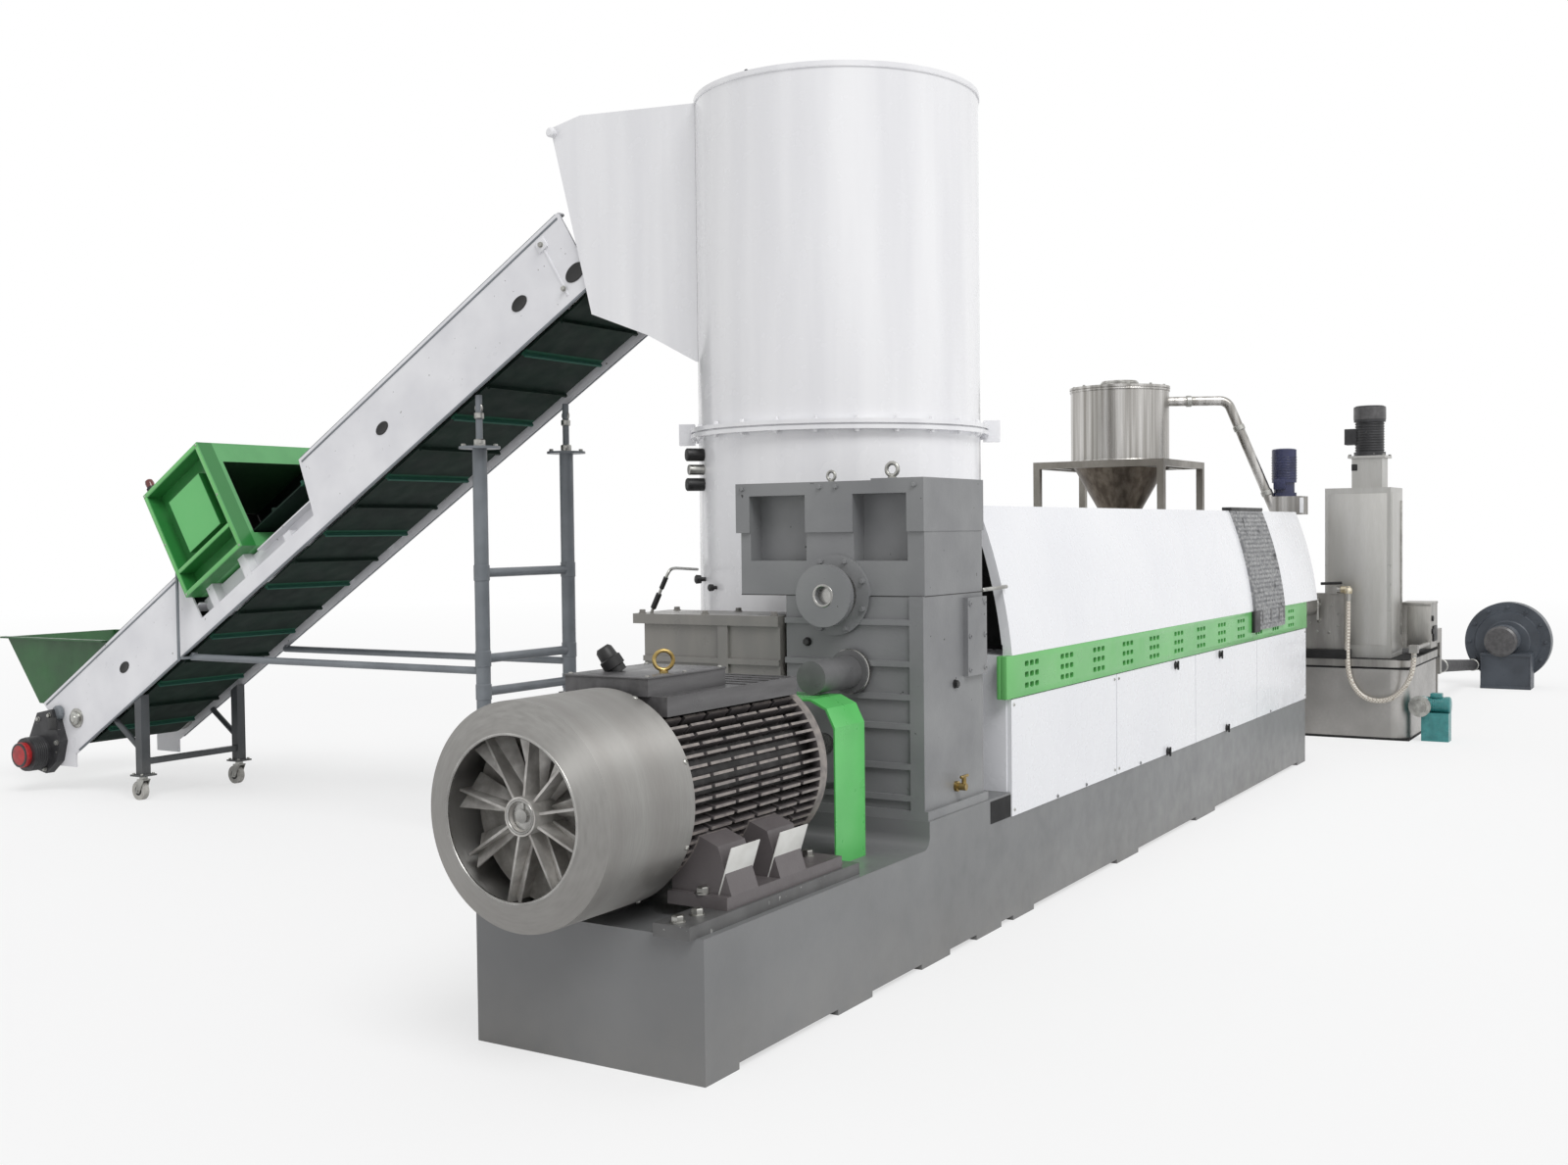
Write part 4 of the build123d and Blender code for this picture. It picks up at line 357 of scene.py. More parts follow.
# Gloss white baked enamel
PANEL_WHITE = enamel("panel_white_enamel", "#ebecef", "#e5e6ea", 0.26, 0.8, 0.08, 0.0003, 0.25)
# The tower's upright streaks of slightly greyer tone are painted reflection.
TOWER_WHITE = enamel("tower_white_enamel", "#efeff1", "#e4e4e7", 0.22, 0.28, 0.08, 0.0003, 0.35,
                     streak=(1.6, 1.6, 0.12))
CONVEYOR_WHITE = enamel("conveyor_white_enamel", "#e6e6e9", "#dbdbdf", 0.34, 0.30, depth=0.0002, fleck=0.01,
                        fleck_colour="#8f8c8a")
# Brushed austenitic sheet: warm grey with upright brush lines
STAINLESS = brushed("brushed_stainless", "#d2d0cd", "#94918c", 0.30, (5, 5, 0.12), 0.25, 0.05)
DRYER_STEEL = brushed("dull_dryer_sheet", "#c5c4c1", "#b9b8b4", 0.42, (3, 3, 0.4), 0.30, 0.02)
TANK_STEEL = brushed("tank_stainless_sheet", "#bcbab7", "#a8a6a3", 0.40, (1, 1, 1), 0.30, 0.02)
STAINLESS_FLAT = brushed("dull_stainless", "#b3b1ad", "#989692", 0.38, (3, 3, 0.5), 0.30, 0.03)
CONE_METAL = brushed("cone_stained_stainless", "#726a60", "#544c44", 0.36, (5, 5, 0.6), 0.22, 0.05)
STAND_METAL = brushed("stand_stainless_tube", "#96928b", "#7d7972", 0.36, (1, 1, 0.4), 0.3, 0.03)
# Enamels of the smaller parts
LEG_ENAMEL = enamel("leg_grey_enamel", "#4a4d50", "#3e4143", 0.38, 0.2, dust=0.3)
FRAME_ENAMEL = enamel("frame_grey_enamel", "#7a7f84", "#6c7176", 0.36, 0.2)
MOTOR_DARK = enamel("motor_black_enamel", "#343436", "#28282a", 0.40, 0.06, fleck=0.03, fleck_colour="#6b6a69")
OIL_PUMP_ENAMEL = enamel("pump_grey_enamel", "#6f6f70", "#5d5d5e", 0.34, 0.12)
MOTOR_BLUE = enamel("motor_blue_enamel", "#2d3255", "#232745", 0.30, 0.10, coat=0.2)
TEAL = enamel("pump_teal_enamel", "#3f8d8d", "#347b7c", 0.30, 0.05, coat=0.2)
SLATE = enamel("blower_slate_enamel", "#4a5058", "#3c4148", 0.40, 0.25, fleck=0.01)
# Near black that stands in for shade in hollows, gaps and under parts: painted shade.
PAINTED_SHADE_BLACK = enamel("black_painted_shade", "#0c0c0d", "#101011", 0.75, 0.2)
# Plastics and rubber
BLACK_PLASTIC = enamel("black_moulded_plastic", "#1c1c1d", "#151515", 0.45, 0.05, 0.004, 0.0003)
RED_CAP = enamel("red_fan_cap", "#b02a2c", "#8e2124", 0.38, 0.04, coat=0.1)
LAMP_RED = enamel("lamp_red_plastic", "#6d2a24", "#54201c", 0.22, 0.03, coat=0.4)
WHEEL_GREY = enamel("wheel_grey_polyurethane", "#b9b7b2", "#a3a19c", 0.5, 0.04)
PLATE_GREY = enamel("blank_plate_grey", "#d6d6d3", "#cdcdc9", 0.36, 0.06)
DUCT = enamel("duct_black_rubber", "#242326", "#1a1a1c", 0.6, 0.10, depth=0.002, streak=(6, 1, 1))
BLANKET = mesh_blanket()
HOSE = braided_hose()
FIN_ENAMEL = finned_paint()
BELT = belt_rubber()
DETECTOR_GREEN = detector_paint()

SLOT_FINISH = {
    "bed_grey": BED_ENAMEL, "motor_metal": COWL_METAL, "cast_fan": CAST_ALUMINIUM, "bare_steel": BARE_STEEL,
    "guard_green": GUARD_GREEN, "gear_grey": CASTING_ENAMEL, "tower_white": TOWER_WHITE,
    "conveyor_white": CONVEYOR_WHITE, "belt_green": BELT, "motor_dark": MOTOR_DARK, "hopper_green": HOPPER_GREEN,
    "leg_grey": LEG_ENAMEL, "wheel_black": WHEEL_GREY, "cover_white": PANEL_WHITE, "strap_grey": BLANKET,
    "stainless": STAINLESS, "motor_blue": MOTOR_BLUE, "hose_clear": HOSE, "pump_teal": TEAL, "duct_dark": DUCT,
    "blower_slate": SLATE,
}
NODE_FINISH = {
    "motor_rails": RAIL_ENAMEL, "motor_body": FIN_ENAMEL, "motor_shroud": SHROUD_ENAMEL, "oil_pump": OIL_PUMP_ENAMEL,
    "drive_housing": HOUSING_ENAMEL, "drive_lid": HOUSING_ENAMEL, "detector_housing": DETECTOR_GREEN,
    "vent_band": BAND_GREEN, "tall_legs": FRAME_ENAMEL, "silo_cone": CONE_METAL, "silo_stand": STAND_METAL,
    "pelletizer": STAINLESS_FLAT, "dryer_casing": DRYER_STEEL, "water_tank": TANK_STEEL,
    "dryer_outlet": STAINLESS_FLAT, "tank_lid": STAINLESS_FLAT, "caster_fork_near": ZINC, "caster_fork_far": ZINC,
}


# Modelling, as by hand

def only(obj):
    """Leaves one object selected and active."""
    bpy.ops.object.select_all(action="DESELECT")
    obj.select_set(True)
    bpy.context.view_layer.objects.active = obj


def settle(obj):
    """Puts an object's place, turn and size into its mesh."""
    only(obj)
    bpy.ops.object.transform_apply(location=True, rotation=True, scale=True)
    return obj


def facing(direction):
    """The turn that brings a piece's top to a direction."""
    return Vector(direction).to_track_quat("Z", "Y").to_matrix().to_4x4()


def stand(obj, place, turn):
    """Turns and moves a piece that was modelled at the origin."""
    obj.matrix_world = Matrix.Translation(place) @ turn
    return settle(obj)


def join(objects):
    """Joins meshes into one."""
    only(objects[0])
    for obj in objects:
        obj.select_set(True)
    if len(objects) > 1:
        bpy.ops.object.join()
    return settle(objects[0])


def pick_edges(obj, test):
    """Opens a mesh for editing with those edges selected whose two ends pass a test."""
    only(obj)
    bpy.ops.object.mode_set(mode="EDIT")
    bpy.ops.mesh.select_mode(type="EDGE")
    bpy.ops.mesh.select_all(action="DESELECT")
    bpy.ops.object.mode_set(mode="OBJECT")
    for edge in obj.data.edges:
        edge.select = test(*(obj.data.vertices[v].co for v in edge.vertices))
    bpy.ops.object.mode_set(mode="EDIT")


def soften_edges(obj, width, segments=2, sharp=35):
    """Rounds every edge that is sharper than an angle."""
    only(obj)
    bpy.ops.object.mode_set(mode="EDIT")
    bpy.ops.mesh.select_mode(type="EDGE")
    bpy.ops.mesh.select_all(action="DESELECT")
    bpy.ops.mesh.edges_select_sharp(sharpness=math.radians(sharp))
    bpy.ops.mesh.bevel(offset=width, segments=segments, affect="EDGES", clamp_overlap=True)
    bpy.ops.object.mode_set(mode="OBJECT")
    return obj


def block(low, high, soft=0.002):
    """A bar or plate between two corners, with softened edges."""
    low, high = Vector(low), Vector(high)
    bpy.ops.mesh.primitive_cube_add(size=1, location=(low + high) / 2)
    obj = bpy.context.object
    obj.scale = high - low
    return soften_edges(settle(obj), soft)


def turned(profile, place=(0, 0, 0), direction=UP, sides=32):
    """A round piece raised step by step along its axis from (height, radius) pairs, then turned to a direction."""
    height, radius = profile[0]
    bpy.ops.mesh.primitive_circle_add(vertices=sides, radius=radius, fill_type="NGON", location=(0, 0, height))
    obj = settle(bpy.context.object)
    bpy.ops.object.mode_set(mode="EDIT")
    bpy.ops.mesh.select_mode(type="FACE")
    bpy.ops.mesh.select_all(action="SELECT")
    for next_height, next_radius in profile[1:]:
        bpy.ops.mesh.extrude_region_move(TRANSFORM_OT_translate={"value": (0, 0, next_height - height)})
        factor = next_radius / radius
        if factor != 1:
            bpy.ops.transform.resize(value=(factor, factor, 1), center_override=(0, 0, next_height))
        height, radius = next_height, next_radius
    bpy.ops.mesh.select_all(action="SELECT")
    bpy.ops.mesh.normals_make_consistent(inside=False)
    bpy.ops.object.mode_set(mode="OBJECT")
    return stand(obj, place, facing(direction))


def ring(place, direction, radius, thick, squash=1.0, sides=40):
    """A round bar bent to a ring, stretched along its axis."""
    bpy.ops.mesh.primitive_torus_add(major_radius=radius, minor_radius=thick, major_segments=sides, minor_segments=12)
    obj = bpy.context.object
    obj.scale = (1, 1, squash)
    return stand(settle(obj), place, facing(direction))


def bar(start, end, radius, sides=16):
    """A round bar between two points, with chamfered ends."""
    start, end = Vector(start), Vector(end)
    length = (end - start).length
    edge = radius * 0.15
    steps = [(0, radius - edge), (edge, radius), (length - edge, radius), (length, radius - edge)]
    return turned(steps, start, end - start, sides)


def curved_bar(name, points, radius, rounding, steps=12):
    """A curve with a round section, led smoothly by a few points."""
    curve = bpy.data.curves.new(name, "CURVE")
    curve.dimensions = "3D"
    curve.bevel_depth = radius
    curve.bevel_resolution = rounding
    curve.resolution_u = steps
    curve.use_fill_caps = True
    line = curve.splines.new("NURBS")
    line.points.add(len(points) - 1)
    for point, place in zip(line.points, points):
        point.co = (*place, 1)
    line.order_u = 3
    line.use_endpoint_u = True
    obj = bpy.data.objects.new(name, curve)
    bpy.context.scene.collection.objects.link(obj)
    return obj


def bent_bar(points, radius):
    """A round bar bent smoothly along a few points."""
    only(curved_bar("bent_bar", points, radius, 3))
    bpy.ops.object.convert(target="MESH")
    return settle(bpy.context.object)


def copies(master, spots, size=1.0):
    """Copies of one modelled piece, each with its own mesh. A spot is a place and the way the piece's top points."""
    made = []
    for place, direction in spots:
        copy = master.copy()
        copy.data = master.data.copy()
        bpy.context.scene.collection.objects.link(copy)
        copy.matrix_world = Matrix.Translation(place) @ facing(direction) @ Matrix.Scale(size, 4)
        made.append(copy)
    bpy.data.objects.remove(master)
    return join(made)


def finish(obj, name, material, body="line", smooth=35):
    """Names a piece, gives it its material and lets it ride on its body."""
    only(obj)
    bpy.ops.object.shade_smooth_by_angle(angle=math.radians(smooth))
    obj.name = name
    obj.data.name = name
    obj.data.materials.clear()
    obj.data.materials.append(material)
    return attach(obj, body)


def blocks(name, material, soft, *corners, body="line"):
    """A finished piece of one or more blocks, each given by its two corners."""
    return finish(join([block(low, high, soft) for low, high in corners]), name, material, body)


def screws(name, master, size, places, direction=UP, material=ZINC):
    """A finished piece of equal screws at several places, all facing one way."""
    return finish(copies(master, [(Vector(place), direction) for place in places], size), name, material)


def fin_stack(name, material, first, step, count, direction, radius, thick, sides=40):
    """A finished piece of round cooling fins in a row."""
    first, step = Vector(first), Vector(step)
    rings = [ring(first + step * n, direction, radius, thick, sides=sides) for n in range(count)]
    return finish(join(rings), name, material)


def hex_bolt():
    """A hexagon head on its washer, one unit across its flats."""
    washer = turned([(0, 0.68), (0.12, 0.68), (0.15, 0.64)], sides=16)
    head = turned([(0.12, 0.57), (0.55, 0.57), (0.65, 0.48)], sides=6)
    return join([washer, head])


def button_screw():
    """A low domed screw head with its socket, one unit across."""
    return turned([(0, 0.5), (0.12, 0.5), (0.28, 0.36), (0.32, 0.22), (0.16, 0.20)], sides=16)


def raised(place, height):
    """A place moved up."""
    return Vector(place) + Vector(UP) * height


def eyebolt(place, radius, thick, direction=TO_VIEWER):
    """A lifting eye standing on its collar."""
    steps = [(0, thick * 2.2), (thick * 0.9, thick * 2.2), (thick * 1.6, thick * 1.2), (thick * 2, thick)]
    collar = turned(steps, place)
    return join([collar, ring(raised(place, thick * 1.6 + radius), direction, radius, thick)])


def circle_spots(place, across, upward, radius, count, direction, start=0.0):
    """Evenly spaced spots on a circle spanned by two directions."""
    place, across, upward = Vector(place), Vector(across), Vector(upward)
    angles = [start + 2 * math.pi * n / count for n in range(count)]
    return [(place + across * radius * math.cos(a) + upward * radius * math.sin(a), direction) for a in angles]


def bolt_circle(name, place, direction, radius, count, size, material=ZINC, start=0.0):
    """Hexagon bolts on a circle square to a direction."""
    turn = facing(direction).to_3x3()
    spots = circle_spots(place, turn.col[0], turn.col[1], radius, count, direction, start)
    return finish(copies(hex_bolt(), spots, size), name, material)


def upright_seams(name, material, middle, radius, thick, rows):
    """Weld beads up a round shell, from rows of angle, foot and top."""
    beads = []
    for degrees, low, high in rows:
        angle = math.radians(degrees)
        side = middle + Vector((math.cos(angle), math.sin(angle), 0)) * radius
        beads.append(bar(raised(side, low), raised(side, high), thick, 8))
    return finish(join(beads), name, material)


def along_conveyor(x, along, above):
    """A point given along the conveyor from its tail, and square above its middle line."""
    return Vector((x, TAIL_Y, TAIL_Z)) + ALONG_BELT * along + ABOVE_BELT * above


def conveyor_block(a0, a1, b0, b1, x0, x1, soft=0.002):
    """A bar or plate square to the belt, from along, above and across limits."""
    obj = stand(block((x0, a0, b0), (x1, a1, b1), soft), along_conveyor(0, 0, 0), axes(ALONG_X, ALONG_BELT, ABOVE_BELT))
    bpy.ops.object.mode_set(mode="EDIT")
    bpy.ops.mesh.select_all(action="SELECT")
    bpy.ops.mesh.normals_make_consistent(inside=False)
    bpy.ops.object.mode_set(mode="OBJECT")
    return obj


def folded_sheet(points, x0, x1, thick):
    """A sheet drawn along X over (y, z) points, pulled out edge by edge and then given its thickness."""
    bpy.ops.mesh.primitive_plane_add(size=1)
    obj = bpy.context.object
    (y0, z0), (y1, z1) = points[:2]
    side = Vector((0, y1 - y0, z1 - z0))
    middle = Vector(((x0 + x1) / 2, (y0 + y1) / 2, (z0 + z1) / 2))
    stand(obj, middle, axes((x1 - x0, 0, 0), side, (0, -side.z, side.y)))
    end = Vector((y1, z1))
    pick_edges(obj, lambda a, b: max((a.yz - end).length, (b.yz - end).length) < 1e-5)
    for (ya, za), (yb, zb) in zip(points[1:], points[2:]):
        bpy.ops.mesh.extrude_region_move(TRANSFORM_OT_translate={"value": (0, yb - ya, zb - za)})
    bpy.ops.object.mode_set(mode="OBJECT")
    thicken(obj, thick)
    return obj


def thicken(obj, thick):
    """Gives a sheet its thickness, half to each side."""
    wall = obj.modifiers.new("wall", "SOLIDIFY")
    wall.thickness = thick
    wall.offset = 0
    bpy.ops.object.modifier_apply(modifier="wall")


def arc_through(first, middle, last, count, inward=0.0):
    """Points on the round arc through three (y, z) points, moved in by a distance."""
    (ax, ay), (bx, by), (cx, cy) = first, middle, last
    d = 2 * (ax * (by - cy) + bx * (cy - ay) + cx * (ay - by))
    ux = ((ax**2 + ay**2) * (by - cy) + (bx**2 + by**2) * (cy - ay) + (cx**2 + cy**2) * (ay - by)) / d
    uy = ((ax**2 + ay**2) * (cx - bx) + (bx**2 + by**2) * (ax - cx) + (cx**2 + cy**2) * (bx - ax)) / d
    radius = math.hypot(ax - ux, ay - uy) - inward
    start = math.atan2(ay - uy, ax - ux) % (2 * math.pi)
    end = math.atan2(cy - uy, cx - ux) % (2 * math.pi)
    angles = [start + (end - start) * n / (count - 1) for n in range(count)]
    return [(ux + radius * math.cos(a), uy + radius * math.sin(a)) for a in angles]


# The pieces, from the hose to the blower

def make_hose():
    """The water hose on its route from the pelletizer's elbow to the dryer's inlet."""
    x = HOSE_X
    route = [
        (-0.450, 1.050), (-0.450, 0.850), (-0.442, 0.645), (-0.455, 0.465), (-0.520, 0.345),
        (-0.620, 0.292), (-0.740, 0.302), (-0.845, 0.385), (-0.915, 0.530), (-0.915, 0.660),
    ]
    radius = 0.018
    hose = curved_bar("clear_hose", [(x, *place) for place in route], radius, 5, 10)
    hose.data.materials.append(HOSE)
    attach(hose, "line")
    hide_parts("water_hose")
    for name, (y, z), drop in (("hose_clip_top", route[0], 0.012), ("hose_clip_end", route[-1], 0.030)):
        clip = turned([(0, 0.0185), (0, 0.0205), (0.014, 0.0205), (0.014, 0.0185)], (x, y, z - drop), UP, 24)
        finish(clip, name, ZINC)


def dress_motor():
    """Small parts of the main motor."""
    finish(ring((-1.845, 0, SHAFT_Z), TO_MOTOR_END, 0.2415, 0.005, sides=96), "cowl_mouth_bead", BARE_STEEL)
    seam = Vector((COWL_SEAM_X, 0, SHAFT_Z))
    spots = circle_spots(seam, ALONG_Y, UP, 0.3345, 8, UP, math.pi / 8)
    finish(copies(button_screw(), [(place, place - seam) for place, _ in spots], 0.018), "cowl_screws", ZINC)
    finish(ring((-1.8035, 0, SHAFT_Z), TO_MOTOR_END, 0.0475, 0.0045), "fan_hub_ring", BARE_STEEL, "rotor")
    key = (-1.7955, -0.007, SHAFT_Z + 0.018), (-1.790, 0.007, SHAFT_Z + 0.040)
    blocks("fan_key", BARE_STEEL, 0.001, key, body="rotor")
    rivets = circle_spots((-1.6585, 0, SHAFT_Z), ALONG_Y, UP, 0.150, FAN_BLADES, TO_MOTOR_END, math.pi / FAN_BLADES)
    finish(copies(button_screw(), rivets, 0.022), "fan_disc_rivets", CAST_ALUMINIUM, "rotor")
    petals = []
    for n in range(FAN_BLADES):
        petal = block((-0.062, 0.062, -0.0025), (0.062, 0.268, 0.0025), 0.001)
        pick_edges(petal, lambda a, b: max(a.y, b.y) < 0.1)
        bpy.ops.transform.resize(value=(0.32, 1, 1), center_override=(0, 0, 0))
        bpy.ops.object.mode_set(mode="OBJECT")
        round_hub = Matrix.Rotation(math.radians(360 / FAN_BLADES * n + 10), 4, "X")
        pitched = Matrix.Rotation(math.radians(90 + 38), 4, "Y")
        petals.append(stand(petal, (-1.720, 0, SHAFT_Z), round_hub @ pitched))
    finish(join(petals), "fan_blades", CAST_ALUMINIUM, "rotor")

    blocks("terminal_lid", SHROUD_ENAMEL, 0.003, ((-1.389, -0.154, 1.1572), (-0.956, 0.174, TERMINAL_LID_Z)))
    corners = [(x, y, TERMINAL_LID_Z) for x in (-1.372, -1.173, -0.974) for y in (-0.138, 0.158)]
    screws("terminal_lid_screws", button_screw(), 0.016, corners)
    eye = eyebolt((-1.233, -0.100, TERMINAL_LID_Z), 0.030, 0.0065, (-0.75, -0.65, 0))
    finish(eye, "brass_lifting_eye", BRASS)
    steps = [(0, 0.030), (0.020, 0.030), (0.022, 0.036), (0.052, 0.036), (0.056, 0.030), (0.085, 0.028),
             (0.095, 0.020)]
    finish(turned(steps, (-1.235, 0.075, 1.160), (-0.3, 0.45, 0.85), 20), "cable_gland", BLACK_PLASTIC)
    ribs = [((x, -0.2105, 1.1047), (x + 0.012, 0.2105, 1.1082)) for x in (-0.93, -0.86, -0.79, -0.72, -0.65)]
    blocks("shroud_ribs", SHROUD_ENAMEL, 0.001, *ribs)

    down_slope = Vector((0, -0.048, 0.145)).normalized()
    outward = Vector((0, -down_slope.z, down_slope.y))
    plates = []
    for x0, x1 in ((-1.318, -1.158), (-1.038, -0.868)):
        plate = block((x0, -0.076, 0), (x1, 0.078, 0.004), 0.001)
        place = Vector((0, -0.374, 0.5825)) + outward * 0.0005
        plates.append(stand(plate, place, axes(ALONG_X, down_slope, outward)))
    finish(join(plates), "foot_blank_plates", PLATE_GREY)
    feet = [(x, y, 0.510) for x in (-1.325, -1.100, -0.820, -0.700) for y in (-0.300, 0.300)]
    feet += [(x, y, 0.470) for x in (-1.520, -1.420, -0.585) for y in (-0.345, 0.345)]
    screws("foot_bolts", hex_bolt(), 0.034, feet)
    bolt_circle("end_shield_bolts", (-0.570, 0, SHAFT_Z), ALONG_X, 0.285, 8, 0.022, start=math.pi / 8)


def dress_gearbox():
    """Lifting eyes, bolts, plugs and the polished faces of the gearbox."""
    eyes = [eyebolt((0.100, 0.048, 1.790), 0.017, 0.006, TO_MOTOR_END),
            eyebolt((0.100, -0.218, 1.797), 0.024, 0.008, TO_MOTOR_END)]
    finish(join(eyes), "gearbox_lifting_eyes", ZINC)
    bolt_circle("output_flange_bolts", (-0.046, SCREW_Y, SCREW_Z), TO_MOTOR_END, 0.137, 8, 0.017, CASTING_ENAMEL,
                math.pi / 8)
    sleeve = turned([(0, 0.0985), (0, 0.0995), (0.050, 0.0995), (0.050, 0.0985)], (-0.047, SCREW_Y, SCREW_Z),
                    TO_MOTOR_END, 64)
    finish(sleeve, "output_neck_sleeve", BARE_STEEL)
    lip = ring((-0.1262, SCREW_Y, SCREW_Z), TO_MOTOR_END, 0.0390, 0.0050, 0.4, 48)
    finish(lip, "output_bore_lip", BARE_STEEL)
    # A near-black disc inside the bore: painted shade.
    bore = turned([(0, 0.0335), (0.0015, 0.0335)], (-0.072, SCREW_Y, SCREW_Z), TO_MOTOR_END, 32)
    finish(bore, "output_bore_floor", PAINTED_SHADE_BLACK)
    collar = turned([(0, 0.0822), (0, 0.085), (0.016, 0.085), (0.018, 0.0822)], OIL_PUMP, TO_MOTOR_END, 64)
    finish(collar, "oil_pump_ring", BARE_STEEL)
    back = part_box("gearbox_upper")[1].x
    blocks("casting_split_seal", BLACK_PLASTIC, 0.0005, ((-0.0312, -0.4158, 1.3555), (back + 0.0002, 0.385, 1.3590)))
    plugs = [(Vector((-0.0298, 0.086, 1.179)), TO_MOTOR_END), (Vector((0.221, -0.4150, 1.014)), TO_VIEWER)]
    finish(copies(hex_bolt(), plugs, 0.026), "gearbox_plugs", BLACK_PLASTIC)
    places = [(x, -0.435, z) for x in (0.322, 0.458) for z in (1.060, 1.190, 1.316)]
    screws("side_panel_screws", button_screw(), 0.020, places, TO_VIEWER, CASTING_ENAMEL)
    tap = join([
        turned([(0, 0.020), (0.012, 0.020), (0.014, 0.014), (0.045, 0.014)], (0.223, -0.415, 0.622), TO_VIEWER, 20),
        bar((0.223, -0.450, 0.618), (0.223, -0.450, 0.660), 0.009),
        bar((0.195, -0.450, 0.662), (0.255, -0.450, 0.662), 0.006),
    ])
    finish(tap, "drain_tap", BRASS)
    finish(bar((0.478, -0.416, 1.363), (0.716, -0.416, 1.368), 0.008), "cover_stay_rod", ZINC)
    # A near-black sheet low in the corner between gearbox and cabinet: painted shade.
    finish(folded_sheet([(-0.4350, 0.431), (-0.4350, 0.520)], 0.500, 0.700, 0.003), "cabinet_corner_shade", PAINTED_SHADE_BLACK)
    places = [(-0.040, y, 1.770) for y in (-0.38, -0.05, 0.02, 0.37)]
    screws("gearbox_cap_screws", hex_bolt(), 0.016, places, TO_MOTOR_END, CASTING_ENAMEL)


def tower_side(x, y):
    """A place just inside the tower's shell, in the direction of a point, and the direction itself."""
    outward = (Vector((x, y, 0)) - TOWER_MIDDLE).normalized()
    return TOWER_MIDDLE + outward * (TOWER_RADIUS - 0.002), outward


def dress_compactor():
    """Fittings of the drive housing, the tower and its hood."""
    corners = [(x, y, 1.275) for x in (-0.030, 0.215) for y in (0.235, 0.560, 0.870)]
    screws("drive_lid_bolts", hex_bolt(), 0.024, corners, UP, HOUSING_ENAMEL)
    rod = bent_bar([(0.0, 0.850, 1.270), (0.0, 0.790, 1.385), (0.0, 0.755, 1.450), (0.06, 0.775, 1.458),
                    (0.4, 0.975, 1.447), (0.80, 1.165, 1.432)], 0.0065)
    finish(rod, "lid_stay_rod", ZINC)
    grips = [bar((0.0, 0.838, 1.294), (0.0, 0.806, 1.355), 0.012), bar((0.0, 0.795, 1.375), (0.0, 0.770, 1.422), 0.010)]
    finish(join(grips), "lid_stay_grips", BLACK_PLASTIC)
    knobs = []
    for x, y, z, size in ((0.795, 1.118, 1.387, 1.0), (0.722, 1.003, 1.352, 0.8)):
        side, outward = tower_side(x, y)
        steps = [(0, 0.010), (0.022, 0.010), (0.024, 0.019), (0.046, 0.021), (0.052, 0.014)]
        knobs.append(turned([(h * size, r * size) for h, r in steps], raised(side, z), outward, 20))
    finish(join(knobs), "tower_knobs", BLACK_PLASTIC)
    side, outward = tower_side(0.80, 1.123)
    body, top, foot = [
        bar(raised(side, z), raised(side + outward * length, z), radius)
        for z, length, radius in ((1.892, 0.075, 0.024), (1.824, 0.085, 0.030), (1.961, 0.085, 0.030))]
    finish(body, "level_switch_body", ZINC)
    finish(join([top, foot]), "level_switch_ends", BLACK_PLASTIC)
    for name, z, way in (("tower_flange_bolts", 2.087, UP), ("tower_flange_nuts", 2.043, DOWN)):
        spots = circle_spots(raised(TOWER_MIDDLE, z), ALONG_X, ALONG_Y, TOWER_BOLT_RADIUS, 24, way, 0.1)
        finish(copies(hex_bolt(), spots, 0.020), name, TOWER_WHITE)
    finish(ring(raised(TOWER_MIDDLE, 3.598), UP, 0.6665, 0.0045, sides=128), "roof_bead", TOWER_WHITE)
    finish(eyebolt((0.688, 0.790, 3.600), 0.014, 0.006), "roof_eye", BLACK_PLASTIC)
    rows = ((18, 1.172, 2.042), (25, 2.088, 3.598))
    upright_seams("tower_weld_seams", TOWER_WHITE, TOWER_MIDDLE, TOWER_RADIUS, 0.003, rows)
    steps = [(0, 0.010), (0.016, 0.010), (0.018, 0.024), (0.040, 0.024), (0.046, 0.016)]
    finish(turned(steps, (0.889, 2.045, 3.578), TO_MOTOR_END, 20), "hood_knob", TOWER_WHITE)


def dress_band():
    """The green band again as a plate with its groups of slots, and a black sheet behind them as painted shade seen
    through the slots.
    """
    low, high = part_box("vent_band")
    plate = block(low, (high.x, -0.4195, high.z), 0.003)
    slot = block((-0.020, -0.06, -0.0110), (0.020, 0.06, 0.0110), 0.006)
    cutter = copies(slot, [
        (Vector((0.906 + 0.400 * group + 0.055 * column, -0.434, 1.000 + 0.045 * row)), UP)
        for group in range(12) for column in (-1, 0, 1) for row in (-1, 0, 1)])
    cut = plate.modifiers.new("slots", "BOOLEAN")
    cut.object = cutter
    cut.solver = "EXACT"
    only(plate)
    bpy.ops.object.modifier_apply(modifier="slots")
    bpy.data.objects.remove(cutter)
    hem = block((low.x, -0.420, low.z), (0.6975, -0.402, high.z), 0.003)
    band = finish(join([plate, hem]), "vent_band_slotted", BAND_GREEN)
    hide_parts("vent_band")
    # Near black behind the slots: painted shade.
    blocks("vent_slot_shade", PAINTED_SHADE_BLACK, 0.0005, ((0.760, -0.4230, 0.930), (5.700, -0.4192, 1.070)))


